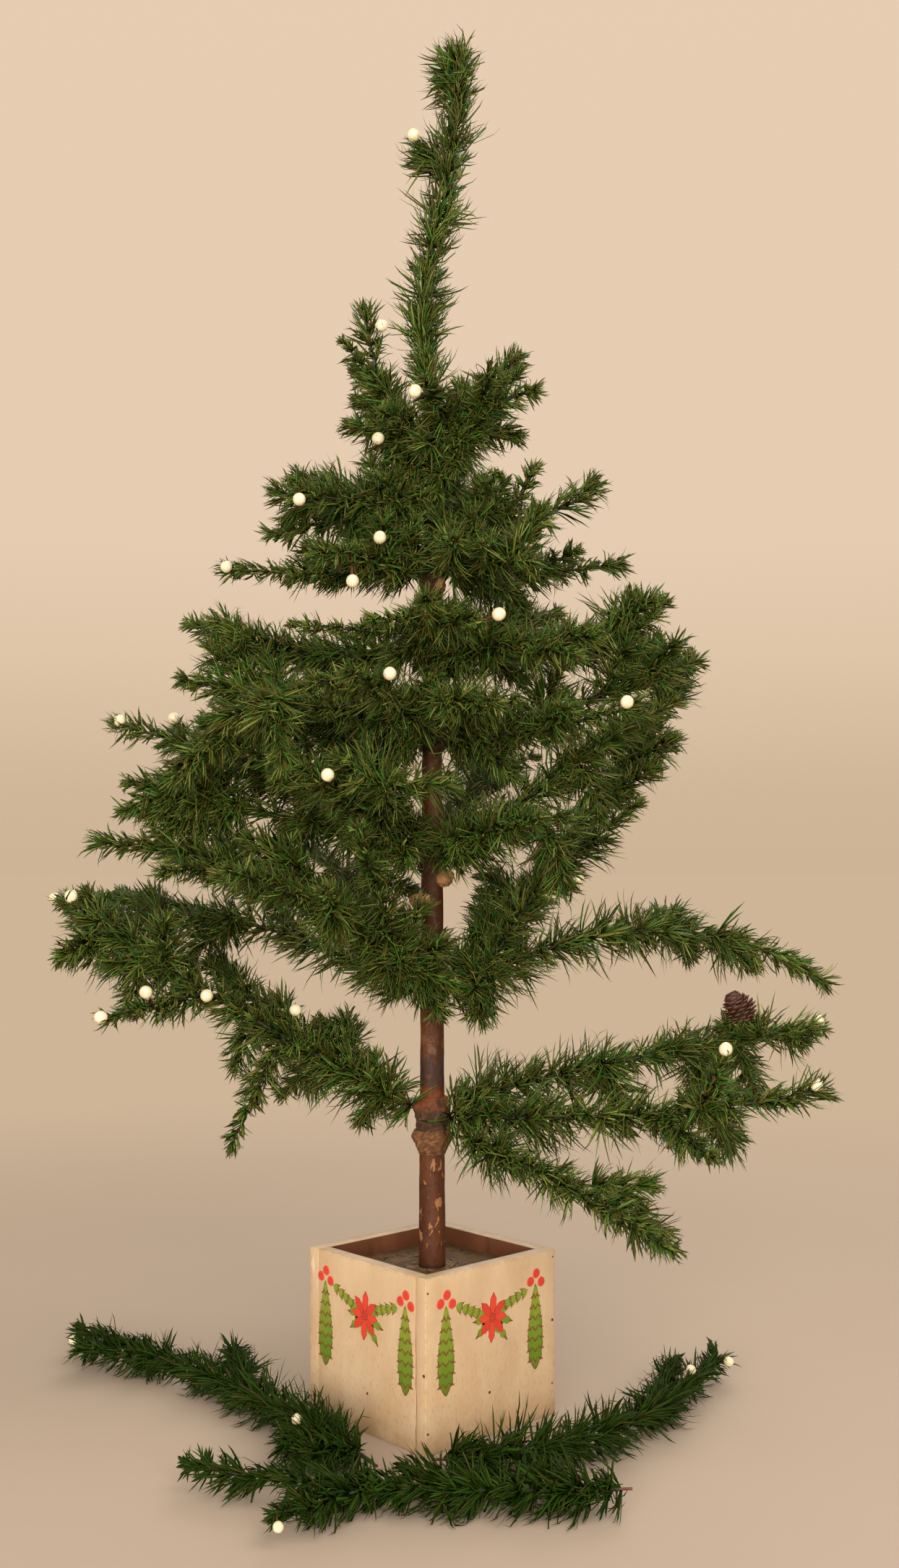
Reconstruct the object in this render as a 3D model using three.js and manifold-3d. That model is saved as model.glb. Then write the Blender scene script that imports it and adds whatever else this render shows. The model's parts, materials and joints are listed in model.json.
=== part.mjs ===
// Goose-feather Christmas tree: wired feather branches bound to a slim trunk that stands in a square wooden box.
// Millimetres, +Z up. The origin is the middle of the box's underside, on the trunk's axis.
import * as THREE from "three";
import { mergeVertices } from "three/addons/utils/BufferGeometryUtils.js";
import Module from "manifold-3d";

const wasm = await Module();
wasm.setup();

// Driving dimensions
const treeHeight = 914; // box underside to leader tip
const clearance = 0.3; // between pieces that seat on each other
const cutOverrun = 1; // how far a cutter runs past the face it opens

const box = {
  side: 116,
  height: 110,
  board: 9,
  glueLine: 0.2,
  recess: 12,
  lidThickness: 6,
  baseThickness: 34,
  socketDepth: 26,
};

const trunk = {
  footRadius: 9.6,
  crownRadius: 6,
  topRadius: 3.2,
  sides: 12,
};
const trunkTopShare = 0.752; // of the tree's height
const crownShare = 0.62; // where the trunk starts to narrow quickly

const binding = {
  height: 24,
  wrap: 1.8, // paper over the trunk
  bulge: 1.1, // more paper over the wire ends
  knot: 3.2, // radius of the lump over one wire
};

const wire = { radius: 0.9, sides: 5, lead: 7 };

const feather = {
  stemRadius: 13, // tips of the barbs on a main stem
  twigRadius: 10,
  innerShare: 0.5, // depth between tufts
  leanShare: 0.55, // how far a tuft's tip runs ahead, of the pitch
  rootShare: 0.62, // the sleeve's girth at its root
  tipShare: 0.5, // and at its tip
  pitch: 18,
  sides: 6,
};

const berry = { radius: 4.1, sideStep: 4.4 };
const cone = { radius: 8.5, length: 21, ridges: 5, ridgeShare: 0.74, sides: 9 };
const coneSeat = { placeShare: 0.8, liftShare: 0.95, lean: 62 }; // on the low right branch, lean in degrees

// Whorls of branches, from the lowest up, as shares of the tree's height
const whorlShares = [0.218, 0.316, 0.407, 0.496, 0.558, 0.613, 0.66, 0.702];
const leaderBindingShare = 0.741;
const longestBranch = 290;

// One row for each branch. Rises and turns are in degrees, liftShare is of the binding's height,
// lengthShare of the longest branch. A twig is [place along the stem, side angle, rise, length], the
// first and last as shares of its stem.
const branches = [
  { name: "low_left", whorl: 0, liftShare: 0.25, bearing: 243, rise: [29, 32, 35], lengthShare: 0.9,
    twigShares: [[0.36, 34, -56, 0.3], [0.58, 30, -8, 0.29], [0.74, -36, 22, 0.24], [0.05, -23, 35, 0.56]] },
  { name: "low_right", whorl: 0, liftShare: 0.4, bearing: 40, rise: [16, 12, 9], lengthShare: 0.84,
    twigShares: [[0.54, 38, 6, 0.3]] },
  { name: "low_right_fork", whorl: 0, liftShare: 0, bearing: 17, rise: [2, 8, 14], lengthShare: 0.86,
    twigShares: [[0.56, -34, -14, 0.27]] },
  { name: "low_front", whorl: 0, liftShare: -0.4, bearing: -6, rise: [-6, -10, -15], lengthShare: 0.73,
    twigShares: [[0.55, 36, 4, 0.24]] },
  { name: "mid_right", whorl: 1, liftShare: -0.35, bearing: 49, rise: [31, 2, -33], lengthShare: 0.9,
    twigShares: [[0.46, 42, 14, 0.2], [0.05, -31, 55, 0.5]] },
  { name: "sweep_right", whorl: 1, liftShare: 0.3, bearing: 73, rise: [36, 50, 66], lengthShare: 0.97,
    twigShares: [[0.34, -40, 38, 0.26], [0.56, 36, 50, 0.25], [0.74, -34, 60, 0.24], [0.2, 40, 30, 0.2]] },
  { name: "mid_left", whorl: 1, liftShare: -0.2, bearing: 214, rise: [24, 13, -5], lengthShare: 0.9,
    twigShares: [[0.48, 38, 2, 0.24], [0.7, -34, 8, 0.24], [0.28, -38, 30, 0.2]] },
  { name: "cluster_left", whorl: 1, liftShare: 0.37, bearing: 249, rise: [36, 23, 3], lengthShare: 0.76,
    twigShares: [[0.44, -37, 23, 0.29], [0.62, 34, -2, 0.27], [0.26, 30, 41, 0.25]] },
  { name: "mid_front", whorl: 1, liftShare: 0.05, bearing: -84, rise: [34, 24, 12], lengthShare: 0.62,
    twigShares: [[0.46, 38, 18, 0.3], [0.64, -34, 16, 0.28], [0.06, 22, 50, 0.64]] },
  { name: "mid_back", whorl: 1, liftShare: 0, bearing: 160, rise: [24, 20, 16], lengthShare: 0.88,
    twigShares: [[0.4, 38, 22, 0.28], [0.6, -38, 20, 0.28]] },
  { name: "upper_left", whorl: 2, liftShare: 0.1, bearing: 222, rise: [30, 24, 12], lengthShare: 0.75,
    twigShares: [[0.4, 36, 24, 0.28], [0.62, -34, 24, 0.26], [0.05, 22, 12, 0.8]] },
  { name: "upper_right", whorl: 2, liftShare: -0.06, bearing: 25, rise: [35, 35, 22], lengthShare: 0.62,
    twigShares: [[0.5, 31, 38, 0.33]] },
  { name: "upper_back", whorl: 2, liftShare: 0.2, bearing: 122, rise: [28, 24, 18], lengthShare: 0.76,
    twigShares: [[0.42, -38, 24, 0.3], [0.62, 36, 22, 0.28]] },
  { name: "upper_front", whorl: 2, liftShare: 0.2, bearing: -76, rise: [26, 20, 14], lengthShare: 0.46,
    twigShares: [[0.5, -40, 16, 0.4], [0.32, 40, 20, 0.4], [0.06, -34, 27, 1.15]] },
  { name: "upper_front_right", whorl: 2, liftShare: 0.1, bearing: -14, rise: [16, 8, 2], lengthShare: 0.42,
    twigShares: [[0.5, 36, 8, 0.4]] },
  { name: "fourth_left", whorl: 3, liftShare: -0.07, bearing: 243, rise: [15, 12, 9], lengthShare: 0.53,
    twigShares: [[0.5, -36, 14, 0.34], [0.3, 40, 17, 0.3]] },
  { name: "fourth_right", whorl: 3, liftShare: -0.3, bearing: 8, rise: [4, 6, 10], lengthShare: 0.5,
    twigShares: [[0.5, -34, 8, 0.34], [0.06, 44, 19, 1.12]] },
  { name: "fourth_front", whorl: 3, liftShare: 0.15, bearing: -62, rise: [12, 10, 6], lengthShare: 0.44,
    twigShares: [[0.52, -40, 8, 0.4], [0.06, -32, 2, 0.96]] },
  { name: "fourth_front_right", whorl: 3, liftShare: 0.3, bearing: -26, rise: [8, 0, -6], lengthShare: 0.4,
    twigShares: [[0.5, -38, -2, 0.36], [0.34, 38, 2, 0.36]] },
  { name: "fourth_back", whorl: 3, liftShare: 0.25, bearing: 168, rise: [22, 20, 16], lengthShare: 0.66,
    twigShares: [[0.46, 38, 22, 0.34]] },
  { name: "fifth_left", whorl: 4, liftShare: 0, bearing: 224, rise: [-6, 6, 26], lengthShare: 0.52,
    twigShares: [[0.48, 36, 10, 0.32], [0.28, -38, 10, 0.3]] },
  { name: "fifth_right", whorl: 4, liftShare: 0.3, bearing: 42, rise: [-12, 4, 58], lengthShare: 0.52,
    twigShares: [[0.5, 34, 24, 0.36]] },
  { name: "fifth_front", whorl: 4, liftShare: 0.1, bearing: -44, rise: [10, 6, 0], lengthShare: 0.36,
    twigShares: [[0.45, 40, -8, 0.5], [0.45, -40, -6, 0.5], [0.08, -48, -2, 1.05]] },
  { name: "fifth_front_right", whorl: 4, liftShare: -0.2, bearing: -2, rise: [2, -6, -18], lengthShare: 0.42,
    twigShares: [[0.5, 38, 0, 0.36]] },
  { name: "fifth_back", whorl: 4, liftShare: -0.25, bearing: 108, rise: [20, 18, 14], lengthShare: 0.55,
    twigShares: [[0.48, -36, 20, 0.34]] },
  { name: "sixth_left", whorl: 5, liftShare: 0.1, bearing: 219, rise: [1, 1, 7], lengthShare: 0.44,
    twigShares: [[0.3, 39, -11, 0.33]] },
  { name: "sixth_right", whorl: 5, liftShare: 0, bearing: 54, rise: [0, 5, 11], lengthShare: 0.39,
    twigShares: [[0.4, -38, 16, 0.36]] },
  { name: "sixth_front_left", whorl: 5, liftShare: -0.2, bearing: -80, rise: [6, 2, -6], lengthShare: 0.33,
    twigShares: [[0.45, -38, 4, 0.42]] },
  { name: "sixth_front_right", whorl: 5, liftShare: 0, bearing: -8, rise: [4, -6, -16], lengthShare: 0.33,
    twigShares: [[0.08, -36, 0, 0.85], [0.45, -38, 4, 0.4]] },
  { name: "seventh_left", whorl: 6, liftShare: 0, bearing: 236, rise: [-4, 6, 18], lengthShare: 0.31,
    twigShares: [[0.45, -42, 30, 0.42], [0.08, -23, -8, 0.96], [0.08, 32, 0, 0.85]] },
  { name: "seventh_right", whorl: 6, liftShare: 0, bearing: 38, rise: [-20, 8, 44], lengthShare: 0.35,
    twigShares: [[0.35, -30, 56, 0.36], [0.08, -70, 6, 0.78]] },
  { name: "seventh_back", whorl: 6, liftShare: 0.2, bearing: 130, rise: [22, 20, 16], lengthShare: 0.36,
    twigShares: [] },
  { name: "eighth_left", whorl: 7, liftShare: 0, bearing: 236, rise: [60, 70, 84], lengthShare: 0.33,
    twigShares: [[0.35, 30, 40, 0.5], [0.3, -46, 40, 0.45]] },
  { name: "eighth_right", whorl: 7, liftShare: 0.15, bearing: 56, rise: [56, 54, 50], lengthShare: 0.27,
    twigShares: [[0.4, -46, 26, 0.5]] },
  { name: "eighth_front", whorl: 7, liftShare: -0.15, bearing: 4, rise: [36, 18, -4], lengthShare: 0.29,
    twigShares: [[0.08, -66, 18, 0.8], [0.4, -40, 30, 0.45]] },
];

// The leader stands on the trunk's top and carries one twig.
const leader = { bearing: 47, rise: [106, 78, 96], twigShares: [[0.64, 178, 40, 0.16]] };

// Three branches that came off the lowest whorl and lie on the floor before the box.
// A butt is [distance from the axis as a share of the box's side, bearing in degrees].
const looseBranches = [
  { name: "loose_left", buttShares: [1.15, -56.2], bearing: 180, turn: [-12, 0.5, 9], lengthShare: 1.21,
    twigShares: [[0.42, -27, 1, 0.26], [0.7, 24, 1, 0.2]] },
  { name: "loose_right", buttShares: [1.03, -41.8], bearing: 90, turn: [-42, 6, 20], lengthShare: 0.98,
    twigShares: [[0.6, 20, 2, 0.3]] },
  { name: "loose_front", buttShares: [1.72, -7.6], bearing: 222, turn: [10, 0, -20], lengthShare: 0.9,
    twigShares: [[0.55, 45, 1, 0.25], [0.3, -34, 1, 0.2]] },
];
const looseRise = 0.5; // degrees
const floorGap = 0.3;

// Berries that have their own node, by branch. The rest are small enough to leave out here.
const berryBranches = ["low_left", "low_right", "low_right_fork", "upper_left"];

const radians = THREE.MathUtils.degToRad;
const up = new THREE.Vector3(0, 0, 1);

// Unit vector at a bearing in the horizontal plane and a rise above it.
function heading(bearing, rise) {
  const b = radians(bearing);
  const r = radians(rise);
  return new THREE.Vector3(Math.cos(b) * Math.cos(r), Math.sin(b) * Math.cos(r), Math.sin(r));
}

// Value at a share of the way through a start, a middle and an end.
function along([start, middle, end], share) {
  const curve = 2 * (start - 2 * middle + end) * share * share;
  return start + (4 * middle - 3 * start - end) * share + curve;
}

// A solid of a closed geometry, with its shared corners merged.
function solidOf(geometry) {
  const bare = new THREE.BufferGeometry();
  bare.setAttribute("position", geometry.getAttribute("position").clone());
  if (geometry.index) bare.setIndex(geometry.index.clone());
  const merged = mergeVertices(bare);
  const mesh = new wasm.Mesh({
    numProp: 3,
    vertProperties: new Float32Array(merged.getAttribute("position").array),
    triVerts: new Uint32Array(merged.index.array),
  });
  return new wasm.Manifold(mesh);
}

function geometryOf(solid) {
  const mesh = solid.getMesh();
  const geometry = new THREE.BufferGeometry();
  geometry.setAttribute("position", new THREE.BufferAttribute(new Float32Array(mesh.vertProperties), 3));
  geometry.setIndex(new THREE.BufferAttribute(new Uint32Array(mesh.triVerts), 1));
  geometry.computeVertexNormals();
  return geometry;
}

// Solid of revolution about Z. The profile's points are [radius, height].
function turned(profile, sides) {
  const points = profile.map(([radius, height]) => new THREE.Vector2(radius, height));
  const geometry = new THREE.LatheGeometry(points, sides);
  geometry.rotateX(Math.PI / 2);
  return solidOf(geometry);
}

function block(low, high) {
  const size = high.map((value, axis) => value - low[axis]);
  const geometry = new THREE.BoxGeometry(...size);
  geometry.translate(...low.map((value, axis) => value + size[axis] / 2));
  return solidOf(geometry);
}

// A closed skin over rings of points, with a fan to a point at each end. The quads are split so that every
// other point is a peak of four faces, which sets the tufts of a sleeve apart.
function skin(rings, firstPoint, lastPoint) {
  const sides = rings[0].length;
  const points = [...rings.flat(), firstPoint, lastPoint];
  const first = points.length - 2;
  const last = points.length - 1;
  const faces = [];
  for (let ring = 0; ring < rings.length; ring++) {
    for (let side = 0; side < sides; side++) {
      const here = ring * sides + side;
      const next = ring * sides + ((side + 1) % sides);
      if (ring === 0) faces.push(first, next, here);
      if (ring === rings.length - 1) faces.push(last, here, next);
      else if ((ring + side) % 2 === 0) faces.push(here, next, here + sides, next, next + sides, here + sides);
      else faces.push(here, next, next + sides, here, next + sides, here + sides);
    }
  }
  const geometry = new THREE.BufferGeometry().setFromPoints(points);
  geometry.setIndex(faces);
  return solidOf(geometry);
}

// The line of a wired stem: its rise, and its turn from the bearing, change along it.
function stemLine({ start, bearing, rise, turn = [0, 0, 0], length }) {
  const steps = Math.max(3, Math.round(length / feather.pitch));
  const line = [start];
  for (let step = 0; step < steps; step++) {
    const share = (step + 0.5) / steps;
    const towards = heading(bearing + along(turn, share), along(rise, share));
    line.push(line[step].clone().addScaledVector(towards, length / steps));
  }
  return line;
}

// Directions across a line at one of its points: sideways, and the rest of a right-handed set.
function acrossAt(line, index) {
  const before = line[Math.max(index - 1, 0)];
  const after = line[Math.min(index + 1, line.length - 1)];
  const forward = after.clone().sub(before).normalize();
  const span = line[line.length - 1].clone().sub(line[0]);
  const flat = new THREE.Vector3(span.x, span.y, 0).normalize();
  const side = new THREE.Vector3().crossVectors(up, flat);
  side.addScaledVector(forward, -side.dot(forward)).normalize();
  return { forward, side, over: new THREE.Vector3().crossVectors(forward, side) };
}

function pointAt(line, share) {
  const place = share * (line.length - 1);
  const index = Math.min(Math.floor(place), line.length - 2);
  return line[index].clone().lerp(line[index + 1], place - index);
}

// Feathers wound on a wire: rings of tufts that lean towards the tip, each ring between the last one's tufts.
function featherSleeve(line, radius) {
  const pitch = line[1].distanceTo(line[0]);
  const rings = line.map((centre, index) => {
    const share = index / (line.length - 1);
    const grown = along([feather.rootShare, 1, feather.tipShare], share);
    const { forward, side, over } = acrossAt(line, index);
    const ring = [];
    for (let k = 0; k < feather.sides; k++) {
      const tuft = (index + k) % 2 === 0;
      const angle = (2 * Math.PI * k) / feather.sides;
      const reach = radius * grown * (tuft ? 1 : feather.innerShare);
      const point = centre.clone().addScaledVector(side, reach * Math.cos(angle));
      point.addScaledVector(over, reach * Math.sin(angle));
      if (tuft) point.addScaledVector(forward, pitch * feather.leanShare);
      ring.push(point);
    }
    return ring;
  });
  const start = acrossAt(line, 0).forward;
  const end = acrossAt(line, line.length - 1).forward;
  const firstPoint = line[0].clone().addScaledVector(start, -wire.radius);
  const lastPoint = line[line.length - 1].clone().addScaledVector(end, pitch * feather.leanShare);
  return skin(rings, firstPoint, lastPoint);
}

// A bare wire with rounded ends.
function wireRod(from, to) {
  const forward = to.clone().sub(from).normalize();
  const side = new THREE.Vector3().crossVectors(up, forward);
  if (side.lengthSq() < 1e-6) side.set(1, 0, 0);
  side.normalize();
  const over = new THREE.Vector3().crossVectors(forward, side);
  const rings = [from, to].map((centre) => {
    const ring = [];
    for (let k = 0; k < wire.sides; k++) {
      const angle = (2 * Math.PI * k) / wire.sides;
      const point = centre.clone().addScaledVector(side, wire.radius * Math.cos(angle));
      ring.push(point.addScaledVector(over, wire.radius * Math.sin(angle)));
    }
    return ring;
  });
  const firstPoint = from.clone().addScaledVector(forward, -wire.radius);
  const lastPoint = to.clone().addScaledVector(forward, wire.radius);
  return skin(rings, firstPoint, lastPoint);
}

// A wired feather branch with its twigs, as one solid, and the lines that its berries and cone sit on.
function featheredBranch(spec) {
  const bearing = spec.bearing + (spec.turn ? spec.turn[0] : 0);
  const lead = heading(bearing, spec.rise[0]);
  const start = spec.root.clone().addScaledVector(lead, wire.lead);
  const stem = stemLine({ ...spec, start, length: spec.length - wire.lead });
  const inside = start.clone().addScaledVector(lead, feather.pitch);
  let solid = featherSleeve(stem, feather.stemRadius).add(wireRod(spec.root, inside));
  const twigs = spec.twigShares.map(([place, side, rise, share]) => {
    const from = pointAt(stem, place);
    const turnHere = spec.turn ? along(spec.turn, place) : 0;
    return stemLine({
      start: from,
      bearing: spec.bearing + turnHere + side,
      rise: [rise, rise, rise],
      length: spec.length * share,
    });
  });
  for (const twig of twigs) solid = solid.add(featherSleeve(twig, feather.twigRadius));
  return { solid, stem, twigs };
}

const trunkTop = treeHeight * trunkTopShare;
const trunkFoot = box.baseThickness - box.socketDepth + clearance;

// The trunk's radius at a height: a slow taper, then a quick one above its crown.
function trunkRadius(height) {
  const crown = treeHeight * crownShare;
  if (height < crown) {
    const share = (height - trunkFoot) / (crown - trunkFoot);
    return THREE.MathUtils.lerp(trunk.footRadius, trunk.crownRadius, share);
  }
  const share = (height - crown) / (trunkTop - crown);
  return THREE.MathUtils.lerp(trunk.crownRadius, trunk.topRadius, share);
}

// The trunk, with some room added all round where a piece is to fit over it.
function trunkSolid(room = 0, low = trunkFoot, high = trunkTop) {
  const crown = treeHeight * crownShare;
  const heights = [low, ...(crown > low && crown < high ? [crown] : []), high];
  const outline = heights.map((height) => [trunkRadius(height) + room, height]);
  return turned([[0, low], ...outline, [0, high]], trunk.sides);
}

const group = new THREE.Group();

function addPiece(name, solid, material) {
  const mesh = new THREE.Mesh(geometryOf(solid), material);
  mesh.name = name;
  group.add(mesh);
}

const cream = new THREE.MeshStandardMaterial({ color: 0xd9c49a, roughness: 0.6, metalness: 0 });
const rawWood = new THREE.MeshStandardMaterial({ color: 0x8a6446, roughness: 0.85, metalness: 0 });
const bark = new THREE.MeshStandardMaterial({ color: 0x5f2e1c, roughness: 0.8, metalness: 0 });
const paper = new THREE.MeshStandardMaterial({ color: 0x8d5a3a, roughness: 0.9, metalness: 0 });
const green = new THREE.MeshStandardMaterial({ color: 0x14401d, roughness: 0.65, metalness: 0 });
const white = new THREE.MeshStandardMaterial({ color: 0xf1e6c4, roughness: 0.45, metalness: 0 });
const brownCone = new THREE.MeshStandardMaterial({ color: 0x55251a, roughness: 0.75, metalness: 0 });

// The box: two side boards run its full width, and two end boards stand between them.
function makeBox() {
  const half = box.side / 2;
  const inner = half - box.board;
  const fitted = inner - box.glueLine;
  addPiece("side_board_right", block([inner, -half, 0], [half, half, box.height]), cream);
  addPiece("side_board_left", block([-half, -half, 0], [-inner, half, box.height]), cream);
  addPiece("end_board_front", block([-fitted, -half, 0], [fitted, -inner, box.height]), cream);
  addPiece("end_board_back", block([-fitted, inner, 0], [fitted, half, box.height]), cream);

  const socketRoom = trunkSolid(clearance, trunkFoot - clearance, box.baseThickness + cutOverrun);
  const base = block([-fitted, -fitted, 0], [fitted, fitted, box.baseThickness]);
  addPiece("base_block", base.subtract(socketRoom), rawWood);

  const lidTop = box.height - box.recess;
  const lid = block([-fitted, -fitted, lidTop - box.lidThickness], [fitted, fitted, lidTop]);
  const lidHole = trunkSolid(clearance, lidTop - box.lidThickness - cutOverrun, lidTop + cutOverrun);
  addPiece("inner_lid", lid.subtract(lidHole), rawWood);
}

// How far from the axis a wire leaves its binding, past the knot of paper over it.
function rootRadius(height) {
  return trunkRadius(height) + clearance + binding.wrap + binding.bulge + binding.knot + clearance + wire.radius;
}

function rootOf(branch) {
  const height = treeHeight * whorlShares[branch.whorl] + branch.liftShare * binding.height;
  return heading(branch.bearing, 0).multiplyScalar(rootRadius(height)).setZ(height);
}

// A band of paper round the trunk, with a knot over the end of each wire that it holds.
function bindingSolid(middle, height, roots) {
  const low = middle - height / 2;
  const high = middle + height / 2;
  const skinAt = (level) => trunkRadius(level) + clearance;
  const ring = [
    [skinAt(low), low],
    [skinAt(low) + binding.wrap, low],
    [skinAt(middle) + binding.wrap + binding.bulge, middle],
    [skinAt(high) + binding.wrap, high],
    [skinAt(high), high],
    [skinAt(low), low],
  ];
  let solid = turned(ring, trunk.sides);
  const room = trunkSolid(clearance, low - binding.height, Math.min(high + binding.height, trunkTop));
  for (const root of roots) {
    const inset = wire.radius + clearance + binding.knot;
    const centre = root.clone().addScaledVector(new THREE.Vector3(root.x, root.y, 0).normalize(), -inset);
    const knot = new THREE.OctahedronGeometry(binding.knot, 1);
    knot.rotateZ(Math.atan2(root.y, root.x));
    knot.translate(centre.x, centre.y, centre.z);
    solid = solid.add(solidOf(knot).subtract(room));
  }
  return solid;
}

function makeTrunk() {
  addPiece("trunk", trunkSolid(), bark);
  whorlShares.forEach((share, whorl) => {
    const roots = branches.filter((branch) => branch.whorl === whorl).map(rootOf);
    addPiece("binding_" + (whorl + 1), bindingSolid(treeHeight * share, binding.height, roots), paper);
  });
  const leaderHeight = 2 * (trunkTop - treeHeight * leaderBindingShare);
  addPiece("leader_binding", bindingSolid(treeHeight * leaderBindingShare, leaderHeight, []), paper);
}

function ball(centre, radius) {
  const geometry = new THREE.IcosahedronGeometry(radius, 1);
  geometry.translate(centre.x, centre.y, centre.z);
  return solidOf(geometry);
}

// A small cone of overlapping scales, on its stalk end, along a direction.
function coneSolid(foot, towards, room = 0) {
  const profile = [[0, -room]];
  for (let ridge = 0; ridge < cone.ridges; ridge++) {
    const share = (ridge + 0.5) / cone.ridges;
    const girth = cone.radius * Math.sin(Math.PI * (0.2 + 0.7 * share)) + room;
    profile.push([girth * cone.ridgeShare + room, (ridge / cone.ridges) * cone.length]);
    profile.push([girth, ((ridge + 0.8) / cone.ridges) * cone.length]);
  }
  profile.push([0, cone.length + room]);
  const points = profile.map(([radius, height]) => new THREE.Vector2(radius, height));
  const geometry = new THREE.LatheGeometry(points, cone.sides);
  geometry.applyQuaternion(new THREE.Quaternion().setFromUnitVectors(new THREE.Vector3(0, 1, 0), towards));
  geometry.translate(foot.x, foot.y, foot.z);
  return solidOf(geometry);
}

// Where the berry of a branch sits: beside the stem's tip.
function berryCentre(stem) {
  const { side, over } = acrossAt(stem, stem.length - 1);
  const out = over.clone().addScaledVector(side, 0.6).normalize();
  return stem[stem.length - 1].clone().addScaledVector(out, berry.sideStep);
}

function makeBranches() {
  for (const row of branches) {
    const spec = { ...row, root: rootOf(row), length: longestBranch * row.lengthShare };
    const made = featheredBranch(spec);
    let solid = made.solid;
    if (berryBranches.includes(row.name)) {
      const centre = berryCentre(made.stem);
      solid = solid.subtract(ball(centre, berry.radius + clearance));
      addPiece("berry_" + row.name, ball(centre, berry.radius), white);
    }
    if (row.name === "low_right") {
      const foot = pointAt(made.stem, coneSeat.placeShare).addScaledVector(up, coneSeat.liftShare * cone.radius);
      const towards = heading(row.bearing + 180, coneSeat.lean);
      solid = solid.subtract(coneSolid(foot, towards, clearance));
      addPiece("fir_cone", coneSolid(foot, towards), brownCone);
    }
    addPiece("branch_" + row.name, solid, green);
  }
}

function makeLeader() {
  const root = new THREE.Vector3(0, 0, trunkTop + clearance + wire.radius);
  const length = treeHeight - root.z - feather.pitch * feather.leanShare;
  const made = featheredBranch({ ...leader, root, length });
  addPiece("leader", made.solid, green);
}

function makeLooseBranches() {
  for (const row of looseBranches) {
    const [distanceShare, buttBearing] = row.buttShares;
    const root = heading(buttBearing, 0).multiplyScalar(box.side * distanceShare);
    root.setZ(feather.stemRadius + floorGap);
    const length = longestBranch * row.lengthShare;
    const made = featheredBranch({ ...row, root, length, rise: [looseRise, looseRise, looseRise] });
    addPiece("branch_" + row.name, made.solid, green);
  }
}

makeBox();
makeTrunk();
makeBranches();
makeLeader();
makeLooseBranches();

export default group;
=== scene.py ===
import json
import math

import bmesh
import bpy
import numpy as np
from mathutils import Matrix, Vector, noise


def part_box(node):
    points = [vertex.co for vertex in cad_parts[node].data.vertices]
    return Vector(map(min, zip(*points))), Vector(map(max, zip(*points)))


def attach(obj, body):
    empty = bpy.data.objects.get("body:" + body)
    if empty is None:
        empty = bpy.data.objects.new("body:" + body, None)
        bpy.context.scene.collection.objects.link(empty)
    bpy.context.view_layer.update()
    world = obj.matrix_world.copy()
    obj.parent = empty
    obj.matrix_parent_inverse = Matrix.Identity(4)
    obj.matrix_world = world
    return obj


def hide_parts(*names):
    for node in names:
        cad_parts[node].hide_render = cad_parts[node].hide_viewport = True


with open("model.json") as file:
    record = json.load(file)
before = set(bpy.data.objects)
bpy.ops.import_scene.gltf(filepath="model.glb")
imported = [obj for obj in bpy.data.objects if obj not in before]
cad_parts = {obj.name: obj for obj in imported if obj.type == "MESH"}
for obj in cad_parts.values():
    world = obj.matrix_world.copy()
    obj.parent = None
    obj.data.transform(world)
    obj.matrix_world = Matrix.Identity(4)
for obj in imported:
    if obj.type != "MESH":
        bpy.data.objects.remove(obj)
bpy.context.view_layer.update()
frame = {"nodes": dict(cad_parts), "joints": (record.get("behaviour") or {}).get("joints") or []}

mm = 0.001  # the values below are in millimetres, and Blender works in metres
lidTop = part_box("inner_lid")[1][2]
scene = bpy.context.scene
scene.view_settings.view_transform = "Standard"
print("frame loaded,", len(frame["nodes"]), "nodes")

# Camera

camera = {"facing": 47.2, "place": (11.6, -1059, 369), "sensor": 36, "lens": 36.365, "shift": 0.0484}


def objectOf(name, data):
    obj = bpy.data.objects.new(name, data)
    scene.collection.objects.link(obj)
    return obj


def makeCamera():
    data = bpy.data.cameras.new("photoCamera")
    data.sensor_width = camera["sensor"]
    data.lens = camera["lens"]
    data.shift_y = camera["shift"]
    obj = objectOf("photoCamera", data)
    turn = Matrix.Rotation(math.radians(camera["facing"]), 4, "Z")
    level = Matrix.Rotation(math.radians(90), 4, "X")
    obj.matrix_world = turn @ Matrix.Translation(Vector(camera["place"]) * mm) @ level
    scene.camera = obj


# Shader maths


class Wire:  # a socket that can stand in a sum
    def __init__(self, look, socket):
        self.look = look
        self.socket = socket

    def sum(self, operation, first, second=0.0):
        return self.look.add("ShaderNodeMath", {"operation": operation}, {0: first, 1: second})

    def __add__(self, other):
        return self.sum("ADD", self, other)

    def __sub__(self, other):
        return self.sum("SUBTRACT", self, other)

    def __mul__(self, other):
        return self.sum("MULTIPLY", self, other)

    def __rsub__(self, other):
        return self.sum("SUBTRACT", other, self)

    def __pow__(self, other):
        return self.sum("POWER", self, other)

    def __abs__(self):
        return self.sum("ABSOLUTE", self)

    __radd__ = __add__

    def least(self, other):
        return self.sum("MINIMUM", self, other)

    def most(self, other):
        return self.sum("MAXIMUM", self, other)

    def ease(self, low, high, start=0.0, end=1.0):
        inputs = {0: self, 1: low, 2: high, 3: start, 4: end}
        return self.look.add("ShaderNodeMapRange", {"interpolation_type": "SMOOTHSTEP"}, inputs)

    def band(self, start, full, end, fading):  # rises from start to full, and is gone again at end
        return self.ease(start, full) * self.ease(end, fading)


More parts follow.
